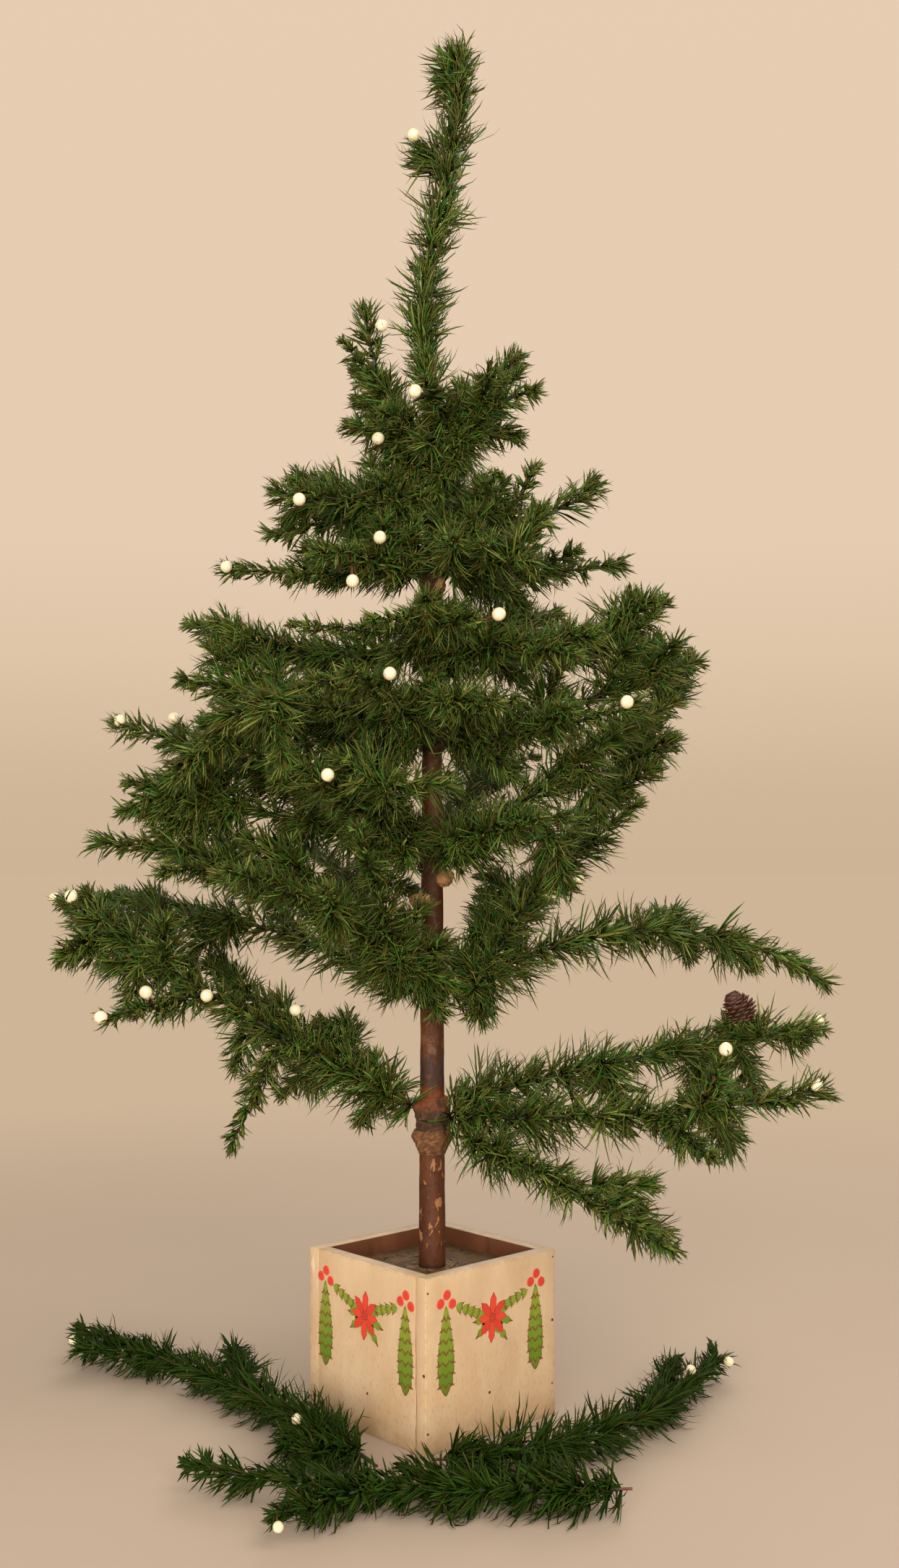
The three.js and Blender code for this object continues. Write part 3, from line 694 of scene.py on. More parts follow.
def makeGarland():
    rng = np.random.default_rng(12)
    kinds = {  # each kind's template and finish
        "leaf": (bladeTemplate(14, rimFrom=0.4), 0), "holly": (bladeTemplate(28, 9, 0.5, rimFrom=0.7), 0),
        "petal": (bladeTemplate(28, 9, 0.22, 1.25), 1), "rim": (discTemplate(), 2), "spike": (bladeTemplate(8), 3),
        "dot": (discTemplate(), 4), "body": (bladeTemplate(36, full=1.6, blunt=0.62), 5),
    }
    half, height = boxSizes["side"] / 2, boxSizes["height"]
    placed = garlandRows()
    for index, turn in enumerate((0, 90, 180, 270)):
        parts = []
        for kind, (template, finish) in kinds.items():
            stack, tones = [], []
            for x, y, angle, length, width, layer, tone in placed[kind]:
                local = template["points"] * (width, length, garland["lift"] + garland["layer"] * layer)
                cosine, sine = math.cos(angle), math.sin(angle)
                across = local[:, 0] * cosine + local[:, 1] * sine + x
                upward = -local[:, 0] * sine + local[:, 1] * cosine + y
                outward = -half - local[:, 2] + garland["sink"]
                stack.append(np.stack([across - half, outward, height + upward], axis=1))
                tones.append(min(1.0, max(0.0, tone + rng.normal(0, 0.08))))
            parts.append(copiesOf(template, turnAbout(np.array(stack), turn), np.array(tones), finish))
        finishes = ["leaf", "petal", "rim", "spike", "dot", "body"]
        piece = meshFrom("garland_" + ("front", "right", "back", "left")[index], parts, finishes)
        piece.data.set_sharp_from_angle(angle=math.radians(30))
        settle(piece, "stand")


# Nails as [face turn, across from the box's middle, height, radius]
nails = [
    (0, 2.0, 26, 1.0), (90, -3.0, 28, 1.1), (180, 1.0, 27, 1.0), (270, -2.0, 26, 1.0),
    (90, -56.3, 101, 0.8), (0, 56.4, 50, 1.2), (90, -56.2, 14, 0.9),
    (90, 55.5, 105, 0.7), (90, 55.2, 63, 1.1), (90, 55.0, 21, 0.8), (270, 55.5, 60, 1.0), (270, -55.5, 62, 1.0),
]


def makeNails():
    bm = bmesh.new()
    bmesh.ops.create_cone(bm, cap_ends=True, segments=12, radius1=1.0, radius2=0.8, depth=1.0)
    head = templateOf(bm)
    half = boxSizes["side"] / 2
    stack = []
    for turn, across, high, radius in nails:
        local = head["points"] * (radius, radius, 0.5)
        flat = np.stack([local[:, 0] + across, -half - local[:, 2], local[:, 1] + high], axis=1)
        stack.append(turnAbout(flat, turn))
    piece = meshFrom("nail_heads", [copiesOf(head, np.array(stack), np.full(len(nails), 0.5))], ["nail"])
    piece.data.set_sharp_from_angle(angle=math.radians(30))
    settle(piece, "stand")


makeBox()
makeGarland()
makeNails()
print("box made")

# Trunk and its bindings

trunkSizes = {
    "foot": 9.6, "crown": 6.0, "top": 3.2, "low": 8.3, "crownHeight": 566.7, "high": 687.3, "step": 4,
    "sides": 44, "ridge": 0.4, "grain": 0.16, "inset": 0.1,
}
whorls = {
    "shares": [0.218, 0.316, 0.407, 0.496, 0.558, 0.613, 0.66, 0.702], "treeHeight": 914, "band": 24,
    "leader": (677.3, 20),
}


def trunkRadius(height):
    low, crown, high = trunkSizes["low"], trunkSizes["crownHeight"], trunkSizes["high"]
    if height < crown:
        share = (height - low) / (crown - low)
        return trunkSizes["foot"] + (trunkSizes["crown"] - trunkSizes["foot"]) * share
    share = (height - crown) / (high - crown)
    return trunkSizes["crown"] + (trunkSizes["top"] - trunkSizes["crown"]) * share


def stackOf(heights, radii, sides):  # a round body about the trunk's axis
    return tubeParts([([(0, 0, height) for height in heights], radii)], sides, 0)


def pushOut(part, push):  # moves the points out from the trunk's axis
    for point in part["points"]:
        spot = Vector(point)
        reach = math.hypot(spot.x, spot.y)
        if reach > 0.5:
            point[:2] *= 1 + push(spot) / reach


def makeTrunk():
    heights = np.append(np.arange(trunkSizes["low"], trunkSizes["high"], trunkSizes["step"]), trunkSizes["high"])
    part = stackOf(heights, [trunkRadius(height) for height in heights], trunkSizes["sides"])

    def push(spot):  # bark ridges and old knots
        ridge = noise.noise(Vector((spot.x * 0.16, spot.y * 0.16, spot.z * 0.05)))
        return ridge * trunkSizes["ridge"] + noise.noise(spot * 0.5) * trunkSizes["grain"] - trunkSizes["inset"]

    pushOut(part, push)
    settle(meshFrom("trunk_bark", [part], ["trunk"]), "stand", ["trunk"])


bindingSizes = {
    "wrap": 1.9, "bulge": 0.9, "crumple": 0.9, "uneven": 0.5, "knot": 3.2, "knotWidth": 3.3, "knotInset": 4.4,
    "step": 1.5, "sides": 56,
}


def foldsAt(spot):  # the creases of crumpled paper
    place = Vector((spot.x, spot.y, spot.z * 0.7)) * 0.22
    return noise.ridged_multi_fractal(place, 1.0, 2.1, 3, 1.0, 2.0) - 0.9


def bindingPiece(name, middle, height, roots):
    count = int(height / bindingSizes["step"])
    heights = np.linspace(middle - height / 2, middle + height / 2, count + 1)
    radii = []
    for index, level in enumerate(heights):
        share = index / count
        rounding = min(1.0, 4 * min(share, 1 - share) + 0.25) ** 0.5
        wrap = bindingSizes["wrap"] * rounding + bindingSizes["bulge"] * math.sin(math.pi * share)
        radii.append(trunkRadius(min(level, trunkSizes["high"])) + wrap)
    part = stackOf(heights, radii, bindingSizes["sides"])

    def push(spot):
        edge = min(1.0, (height / 2 - abs(spot.z - middle)) / 3 + 0.25)
        out = foldsAt(spot) * bindingSizes["crumple"] * edge + noise.noise(spot * 0.35) * bindingSizes["uneven"]
        for root in roots:
            centre = Vector((root.x, root.y, 0)).normalized() * (root.xy.length - bindingSizes["knotInset"])
            near = (spot - Vector((centre.x, centre.y, root.z))).length
            out += bindingSizes["knot"] * math.exp(-((near / bindingSizes["knotWidth"]) ** 2))
        return out

    pushOut(part, push)
    settle(meshFrom(name + "_paper", [part], ["paper"]), "stand", [name])


# The tan paper collar below the lowest whorl, with a lump at each side
collar = {
    "low": 173, "high": 189, "rows": 13, "places": (0, 0.35, 0.8, 1), "thick": (0.5, 3.1 * 0.7, 3.1, 3.1 * 0.7),
    "crumple": 1.1, "uneven": 0.5, "grown": 6, "lumpHeight": 184, "lump": 2.6, "lumpWidth": 4.5,
}


def makeCollar():
    heights = np.linspace(collar["low"], collar["high"], collar["rows"])
    shares = (heights - collar["low"]) / (collar["high"] - collar["low"])
    thickness = np.interp(shares, collar["places"], collar["thick"])
    radii = [trunkRadius(level) + thick for level, thick in zip(heights, thickness)]
    part = stackOf(heights, radii, bindingSizes["sides"])

    def push(spot):
        grown = min(1.0, max(0.0, (spot.z - collar["low"]) / collar["grown"]))
        out = foldsAt(spot) * collar["crumple"] * grown + noise.noise(spot * 0.4) * collar["uneven"] * grown
        for side in (-1, 1):
            centre = Vector(rightward * side * (trunkRadius(spot.z) + 1))
            centre.z = collar["lumpHeight"]
            out += collar["lump"] * math.exp(-(((spot - centre).length / collar["lumpWidth"]) ** 2))
        return out

    pushOut(part, push)
    settle(meshFrom("paper_collar", [part], ["paper"]), "stand")


# Lumps of paper and cut knots on the trunk, as [right and near from its axis, height, half sizes]
lumps = [
    (-6.6, 4.2, 341, (8.0, 5.5, 6.0)), (8.0, 3.8, 357, (6.2, 5.2, 6.4)), (4.8, 5.2, 552, (4.2, 3.6, 5.8)),
    (-4.0, -6.0, 455, (4.5, 4.5, 4.0)), (5.5, -5.0, 318, (5.5, 5.0, 5.0)), (-2.5, 5.0, 672, (4.0, 3.4, 5.0)),
]
facing = math.radians(camera["facing"])
rightward = np.array([math.cos(facing), math.sin(facing), 0])  # as the photograph shows it
nearward = np.array([math.sin(facing), -math.cos(facing), 0])


def makeLumps():
    bm = bmesh.new()
    for right, near, height, sizes in lumps:
        made = bmesh.ops.create_icosphere(bm, subdivisions=4, radius=1.0)["verts"]
        centre = Vector(rightward * right + nearward * near + (0, 0, height))
        for vert in made:
            rough = 1 + noise.noise(vert.co * 1.6 + centre) * 0.3 + noise.noise(vert.co * 4 + centre) * 0.14
            local = rightward * vert.co.x * sizes[0] + nearward * vert.co.y * sizes[1]
            vert.co = Vector(local + (0, 0, vert.co.z * sizes[2])) * rough + centre
    settle(pieceOf("trunk_lumps", bm, "stub"), "stand")


# Feather branches

spray = {
    "lean": ((50, 96), (32, 68)), "grown": (1.15, 1.25, 0.98, 0.66), "curl": (1.2, 0.75), "sideways": 1.0,
    "tuft": 24, "tip": 0.82,
}
feathers = {
    "pitch": 18, "lead": 7, "longest": 290, "core": 1.3, "back": 8, "usual": 38, "sag": 0.12,
    "width": 1.12, "thickness": 0.42, "clump": 3, "ring": 8.5, "bunching": 1.7, "rootward": 1.25,
    "droop": 0.06, "ragged": (0.2, 0.14), "waves": (9.5, 4.3), "phase": 6, "inset": 0.7, "twist": 0.5,
    "sizes": (0.66, 1.12), "girths": (0.75, 1.3), "broad": (0.03, 1.8), "grownAt": (0, 0.12, 0.5, 1),
    "own": {"place": 0.5, "angle": 0.3, "lean": 0.1, "slant": 0.2, "curl": 0.15, "tone": 0.4},
    "end": {"length": 6, "lean": (4, 48), "slant": 6.3, "curl": (0.5, 0.5)},
    # the loose branches' barb tone is scaled down, a painted shade that darkens them
    "pressed": 0.25, "fallenTone": 0.35, "looseGirth": 1.2, "looseFloor": 0.6,
    "sheath": {"count": 60, "length": 50, "lean": 30, "curl": 1.25, "from": -4, "to": 14, "girth": 1.3},
    "kinds": {
        "stem": {"length": 24.0, "density": 6.0, **spray},
        "twig": {"length": 21.5, "density": 5.4, **spray},
        "side": {"length": 22.0, "density": 7.8, **spray},
        "leader": {
            "length": 25.0, "density": 8.0, "lean": ((48, 92), (52, 92)), "grown": (1.05, 1.1, 1.05, 0.95),
            "curl": (1.6, 0.55), "sideways": 0.6, "tuft": 50, "tip": 0.6,
        },
    },
}


# Short side feathers that fill the sleeves and hide the trunk, as [place, bearing, rise] and a length that isn't
# the usual one; the whole part of the place is the line, with 0 for the stem, and the rest the share along it
tufts = {
    "low_left": [
        (0.04, 215, 72, 26), (0.05, 215, -44, 22), (0.3, -162, 62), (0.7, -117, 10), (0.7, -42, 62),
        (3.2, 162, -62), (3.5, -108, 62), (3.6, -78, -10), (4.2, -140, 62), (4.2, 145, 62), (4.3, -140, -35),
        (4.7, -95, -62), (4.8, 175, 35),
    ],
    "low_right": [
        (0.78, 235, 50, 14), (0.84, 180, 50, 12), (0.4, -5, -62), (0.9, -5, -10, 16), (1.6, 153, -62),
        (1.9, 33, -62),
    ],
    "low_right_fork": [(0.7, 8, 69, 37), (0.7, 92, -35)], "low_front": [(1.5, 30, -35)],
    "mid_right": [(0.06, -60, -8, 30), (0.06, -50, -50, 28), (0.7, 49, -35, 26), (1.7, 91, -35)],
    "sweep_right": [(0.1, 148, 62), (0.6, 28, 35), (0.7, 28, 35), (0.9, 28, 62), (4.2, -172, 35)],
    "mid_left": [(1.1, -108, -35), (1.9, -153, -10)], "cluster_left": [(1.5, -148, 62), (3.9, -126, 35)],
    "leader": [(0.88, 227, 58, 16), (0.94, 227, 40, 13), (0.985, 227, 66, 8)],
    "mid_front": [
        (0.06, -46, 20, 28), (0.08, 240, 40, 30), (0.06, 18, -10, 40), (0.07, 26, -42, 36),
        (0.08, 16, 26, 36), (3.1, 13, 62),
    ],
    "mid_back": [(2.4, 47, -10)],
    "upper_left": [
        (0.1, 250, 62, 44), (0.24, 250, 55, 46), (3.3, -161, -35), (3.6, -116, -35), (3.6, -116, 62),
        (3.7, -116, -35), (3.7, -116, -10), (3.7, -71, 35), (3.8, -116, -10),
    ],
    "upper_right": [(1.2, 56, -62)],
    "upper_front": [
        (0.08, -44, -20, 30), (0.1, 250, 10, 34), (0.1, -60, 50, 26), (2.9, -111, 35), (2.9, 39, 10),
        (3.9, -110, -35),
    ],
    "upper_front_right": [(0.08, -38, 10, 28), (0.1, 20, 30, 30), (1.7, 22, -62)],
    "fourth_left": [
        (0.05, 225, -75, 36), (0.12, 235, -48, 40), (0.4, 240, -50, 40), (0.3, -72, -62), (1.1, -153, 62),
        (1.1, -108, -35), (1.5, -108, 62), (1.8, -108, 62),
    ],
    "fourth_right": [(0.12, 20, -40, 34), (2.3, 7, 62), (2.6, 7, 62), (2.7, 52, 62), (2.8, -23, 35)],
    "fourth_front": [
        (0.1, 235, -20, 34), (0.08, 225, -62, 34), (0.1, 12, 62, 34), (0.12, 20, 24, 32), (2.9, -139, -10),
        (2.9, -19, -62),
    ],
    "fourth_front_right": [(0.08, 30, -30, 32)], "fifth_left": [(0.1, 240, -40, 36), (1.8, -145, 35, 26)],
    "fifth_right": [(0.1, 20, -36, 34), (0.1, 20, 50, 30), (1.7, 1, 35), (1.8, 1, 62, 26)],
    "fifth_front": [(0.05, -44, 52, 30), (0.1, 260, -30, 32), (0.1, 10, 30, 30)],
    "fifth_front_right": [(0.08, 216, -38, 32), (0.1, 225, -8, 28), (1.6, -9, 10)],
    "sixth_left": [(0.1, 240, 50, 34), (0.3, 232, 34, 30)],
    "sixth_right": [(0.12, 40, -34, 34), (0.12, 20, 40, 30)],
    "sixth_front_left": [(0.3, -50, 60, 34), (0.12, -10, 66), (0.12, 240, 30, 34)],
    "sixth_front_right": [(0.1, 230, 72, 36), (0.3, -40, 62, 34), (0.1, 30, -20, 34), (0.8, 37, 62)],
    "seventh_left": [
        (0.08, -5, 60, 42), (0.08, 0, 12, 36), (0.08, -5, -56, 40), (0.08, -20, 76, 40), (0.06, -40, 4, 28),
        (0.08, 240, 66, 36), (0.1, 240, -52, 36), (0.08, -60, 30, 30), (0.08, -60, -34, 28),
        (1.7, -121, 35, 16), (1.8, -166, -35, 26), (3.2, -137, 35),
    ],
    "seventh_right": [
        (0.1, -80, -50, 34), (0.1, 215, -35, 32), (0.1, -30, 44, 30), (0.1, -30, -36, 30), (0.16, 40, 60, 30),
    ],
    "seventh_back": [(0.1, 240, 30, 34)],
    "eighth_left": [
        (0.08, -5, -58, 40), (0.08, 240, 10, 34), (0.08, -70, 20, 30), (0.1, -50, -50, 28),
        (0.2, 230, 30, 30),
    ],
    "eighth_right": [(0.08, -20, 20, 32), (0.1, 40, 0, 36), (0.1, -40, 60, 30)],
    "loose_left": [(0.13, -98, 14, 36), (0.06, -108, 16, 32)],
    "eighth_front": [
        (0.08, -44, -40, 30), (0.1, -44, 50, 28), (0.1, -88, -60, 40), (0.1, -88, -12, 34),
        (0.1, -88, 46, 34),
    ],
}

# The same rows as the solids: bearing, rise, length share, and twigs as [place, side, rise, length share]
branches = {
    "low_left": (243, (29, 32, 35), 0.9, [
        (0.36, 34, -56, 0.3), (0.58, 30, -8, 0.29), (0.74, -36, 22, 0.24), (0.05, -23, 35, 0.56),
    ]),
    "low_right": (40, (16, 12, 9), 0.84, [(0.54, 38, 6, 0.3)]),
    "low_right_fork": (17, (2, 8, 14), 0.86, [(0.56, -34, -14, 0.27)]),
    "low_front": (-6, (-6, -10, -15), 0.73, [(0.55, 36, 4, 0.24)]),
    "mid_right": (49, (31, 2, -33), 0.9, [(0.46, 42, 14, 0.2), (0.05, -31, 55, 0.5)]),
    "sweep_right": (73, (36, 50, 66), 0.97, [
        (0.34, -40, 38, 0.26), (0.56, 36, 50, 0.25), (0.74, -34, 60, 0.24), (0.2, 40, 30, 0.2),
    ]),
    "mid_left": (214, (24, 13, -5), 0.9, [(0.48, 38, 2, 0.24), (0.7, -34, 8, 0.24), (0.28, -38, 30, 0.2)]),
    "cluster_left": (249, (36, 23, 3), 0.76, [
        (0.44, -37, 23, 0.29), (0.62, 34, -2, 0.27), (0.26, 30, 41, 0.25),
    ]),
    "mid_front": (-84, (34, 24, 12), 0.62, [(0.46, 38, 18, 0.3), (0.64, -34, 16, 0.28), (0.06, 22, 50, 0.64)]),
    "mid_back": (160, (24, 20, 16), 0.88, [(0.4, 38, 22, 0.28), (0.6, -38, 20, 0.28)]),
    "upper_left": (222, (30, 24, 12), 0.75, [(0.4, 36, 24, 0.28), (0.62, -34, 24, 0.26), (0.05, 22, 12, 0.8)]),
    "upper_right": (25, (35, 35, 22), 0.62, [(0.5, 31, 38, 0.33)]),
    "upper_back": (122, (28, 24, 18), 0.76, [(0.42, -38, 24, 0.3), (0.62, 36, 22, 0.28)]),
    "upper_front": (-76, (26, 20, 14), 0.46, [(0.5, -40, 16, 0.4), (0.32, 40, 20, 0.4), (0.06, -34, 27, 1.15)]),
    "upper_front_right": (-14, (16, 8, 2), 0.42, [(0.5, 36, 8, 0.4)]),
    "fourth_left": (243, (15, 12, 9), 0.53, [(0.5, -36, 14, 0.34), (0.3, 40, 17, 0.3)]),
    "fourth_right": (8, (4, 6, 10), 0.5, [(0.5, -34, 8, 0.34), (0.06, 44, 19, 1.12)]),
    "fourth_front": (-62, (12, 10, 6), 0.44, [(0.52, -40, 8, 0.4), (0.06, -32, 2, 0.96)]),
    "fourth_front_right": (-26, (8, 0, -6), 0.4, [(0.5, -38, -2, 0.36), (0.34, 38, 2, 0.36)]),
    "fourth_back": (168, (22, 20, 16), 0.66, [(0.46, 38, 22, 0.34)]),
    "fifth_left": (224, (-6, 6, 26), 0.52, [(0.48, 36, 10, 0.32), (0.28, -38, 10, 0.3)]),
    "fifth_right": (42, (-12, 4, 58), 0.52, [(0.5, 34, 24, 0.36)]),
    "fifth_front": (-44, (10, 6, 0), 0.36, [(0.45, 40, -8, 0.5), (0.45, -40, -6, 0.5), (0.08, -48, -2, 1.05)]),
    "fifth_front_right": (-2, (2, -6, -18), 0.42, [(0.5, 38, 0, 0.36)]),
    "fifth_back": (108, (20, 18, 14), 0.55, [(0.48, -36, 20, 0.34)]),
    "sixth_left": (219, (1, 1, 7), 0.44, [(0.3, 39, -11, 0.33)]),
    "sixth_right": (54, (0, 5, 11), 0.39, [(0.4, -38, 16, 0.36)]),
    "sixth_front_left": (-80, (6, 2, -6), 0.33, [(0.45, -38, 4, 0.42)]),
    "sixth_front_right": (-8, (4, -6, -16), 0.33, [(0.08, -36, 0, 0.85), (0.45, -38, 4, 0.4)]),
    "seventh_left": (236, (-4, 6, 18), 0.31, [
        (0.45, -42, 30, 0.42), (0.08, -23, -8, 0.96), (0.08, 32, 0, 0.85),
    ]),
    "seventh_right": (38, (-20, 8, 44), 0.35, [(0.35, -30, 56, 0.36), (0.08, -70, 6, 0.78)]),
    "seventh_back": (130, (22, 20, 16), 0.36, []),
    "eighth_left": (236, (60, 70, 84), 0.33, [(0.35, 30, 40, 0.5), (0.3, -46, 40, 0.45)]),
    "eighth_right": (56, (56, 54, 50), 0.27, [(0.4, -46, 26, 0.5)]),
    "eighth_front": (4, (36, 18, -4), 0.29, [(0.08, -66, 18, 0.8), (0.4, -40, 30, 0.45)]),
}
# Millimetres without barbs at the foot of a stem and its first twig
bare = {
    "loose_left": 30, "low_front": 16, "fourth_front": 14, "fourth_front_right": 14, "fifth_front": 8,
    "sixth_front_left": 12, "sixth_front_right": 12,
}
# Shares of the barbs' length on the lines whose sleeves are slim in the photograph
slim = {
    "fifth_front": {0: 0.85, 1: 0.85, 2: 0.6, 3: 0.5}, "fourth_front": {0: 0.85, 1: 0.8},
    "fourth_front_right": {0: 0.8}, "mid_left": {0: 0.88, 1: 0.8, 2: 0.62, 3: 0.75}, "upper_back": {1: 0.62},
    "eighth_right": {0: 0.85, 1: 0.62}, "seventh_right": {1: 0.65, 2: 0.7}, "sixth_left": {0: 0.75, 1: 0.6},
    "sixth_front_left": {0: 0.85, 1: 0.65}, "eighth_left": {0: 0.9, 1: 0.7, 2: 0.7},
    "sixth_front_right": {2: 0.65}, "sixth_right": {0: 0.8, 1: 0.65}, "eighth_front": {0: 0.75},
    "low_left": {1: 0.75, 2: 0.75}, "low_right_fork": {1: 0.8}, "fifth_left": {2: 0.75},
    "cluster_left": {2: 0.8}, "low_front": {0: 0.85},
}
leaderShape = {
    "bearing": 47, "rise": (106, 78, 96), "twigs": [(0.64, 178, 40, 0.16)], "twigShown": 0.62, "top": 914,
    "lean": 0.55, "bulge": 3.5, "bulgeFrom": 720, "bulgeOver": 60, "gap": 1.2,
}
looseRows = {
    "loose_left": (1.15, -56.2, 180, (-12, 0.5, 9), 1.21, [(0.42, -27, 1, 0.26), (0.7, 24, 1, 0.2)]),
    "loose_right": (1.03, -41.8, 90, (-42, 6, 20), 0.98, [(0.6, 20, 2, 0.3)]),
    "loose_front": (1.72, -7.6, 222, (10, 0, -20), 0.9, [(0.55, 45, 1, 0.25), (0.3, -34, 1, 0.2)]),
}
looseRise, looseLift = 0.5, 13.3


def headingOf(bearing, rise):
    b, r = math.radians(bearing), math.radians(rise)
    return np.array([math.cos(b) * math.cos(r), math.sin(b) * math.cos(r), math.sin(r)])


def alongOf(three, share):
    start, middle, end = three
    return start + (4 * middle - 3 * start - end) * share + 2 * (start - 2 * middle + end) * share * share


def stemLine(start, bearing, rise, turn, length):
    steps = max(3, int(length / feathers["pitch"] + 0.5))
    line = [np.array(start, float)]
    for step in range(steps):
        share = (step + 0.5) / steps
        way = headingOf(bearing + alongOf(turn, share), alongOf(rise, share))
        line.append(line[-1] + way * length / steps)
    return np.array(line)


def pointAt(line, share):
    place = share * (len(line) - 1)
    index = min(int(place), len(line) - 2)
    return line[index] + (line[index + 1] - line[index]) * (place - index)


def branchLines(root, bearing, rise, turn, length, twigs):
    start = np.array(root) + headingOf(bearing + turn[0], rise[0]) * feathers["lead"]
    stem = stemLine(start, bearing, rise, turn, length - feathers["lead"])
    lines = [stem]
    for place, side, twigRise, share in twigs:
        way = bearing + alongOf(turn, place) + side
        lines.append(stemLine(pointAt(stem, place), way, (twigRise,) * 3, (0, 0, 0), length * share))
    return [smoothLine(line) for line in lines]


def smoothLine(line, finer=4):  # the corners of the line rounded off, through the same points
    padded = np.concatenate([[2 * line[0] - line[1]], line, [2 * line[-1] - line[-2]]])
    made = []
    for index in range(len(line) - 1):
        a, b, c, d = padded[index:index + 4]
        for step in range(finer):
            t = step / finer
            square, cube = 2 * a - 5 * b + 4 * c - d, 3 * b - a - 3 * c + d
            made.append(0.5 * (2 * b + (c - a) * t + square * t ** 2 + cube * t ** 3))
    return np.array(made + [line[-1]])


def barbTemplate():  # one long along z and three-sided
    bm = bmesh.new()
    bmesh.ops.create_cone(bm, cap_ends=True, segments=3, radius1=0.62, radius2=0.0, depth=1.0)
    bmesh.ops.translate(bm, vec=(0, 0, 0.5), verts=bm.verts)
    widths = {0: 0.75, 0.35: 1.5, 0.75: 2.8}  # how much wider than the cone, by height
    for level in list(widths)[1:]:
        whole = bm.verts[:] + bm.edges[:] + bm.faces[:]
        bmesh.ops.bisect_plane(bm, geom=whole, plane_co=(0, 0, level), plane_no=(0, 0, 1))
    bmesh.ops.remove_doubles(bm, verts=bm.verts, dist=1e-5)
    for vert in bm.verts:
        wide = widths.get(round(vert.co.z, 2), 1)
        vert.co.x *= wide
        vert.co.y *= wide
    bmesh.ops.recalc_face_normals(bm, faces=bm.faces)
    return templateOf(bm, run=lambda co: co.z)


barb = barbTemplate()


def unit(rows):
    return rows / np.linalg.norm(rows, axis=-1, keepdims=True)


def barbCopies(base, way, aside, curl, size, girth, twist, tone, flat=None):
    unitX, unitY, unitZ = barb["points"].T  # each barb is an arc that turns by its curl, in radians
    curl = np.where(np.abs(curl) < 0.05, 0.05, curl)[:, None]
    ahead = np.sin(curl * unitZ) / curl * size[:, None]
    over = (1 - np.cos(curl * unitZ)) / curl * size[:, None]
    level = np.cross(way, aside)
    wide = level * np.cos(twist)[:, None] + aside * np.sin(twist)[:, None]
    deep = np.cross(way, wide)
    points = base[:, None, :] + way[:, None, :] * ahead[:, :, None] + aside[:, None, :] * over[:, :, None]
    points += wide[:, None, :] * (girth[:, None] * unitX * feathers["width"])[:, :, None]
    points += deep[:, None, :] * (unitY * feathers["thickness"])[None, :, None]
    points[:, :, 2] -= size[:, None] * feathers["droop"] * unitZ ** 2
    if flat is None:
        return copiesOf(barb, points, tone)
    under = points[:, :, 2] < flat  # what lies on the floor is pressed up by it
    points[:, :, 2][under] = flat + (flat - points[:, :, 2][under]) * feathers["pressed"]
    # painted shade: the loose branches' tone is scaled down so that they come out darker
    return copiesOf(barb, points, tone * feathers["fallenTone"])


def framesAlong(line, spots):  # the place, heading and two square directions at each distance along a line
    reach = np.concatenate([[0], np.cumsum(np.linalg.norm(np.diff(line, axis=0), axis=1))])
    ways = unit(np.gradient(line, axis=0))
    inner = np.clip(spots, 0, reach[-1])
    base = np.stack([np.interp(inner, reach, line[:, axis]) for axis in range(3)], axis=1)
    forward = unit(np.stack([np.interp(inner, reach, ways[:, axis]) for axis in range(3)], axis=1))
    helper = np.tile([0.0, 0.0, 1.0], (len(spots), 1))
    helper[np.abs(forward[:, 2]) > 0.9] = (1.0, 0.0, 0.0)
    side = unit(np.cross(helper, forward))
    return base + forward * (spots - inner)[:, None], forward, side, np.cross(forward, side)


def lengthOf(line):
    return np.linalg.norm(np.diff(line, axis=0), axis=1).sum()


def outwards(side, over, angle):
    return side * np.cos(angle)[:, None] + over * np.sin(angle)[:, None]


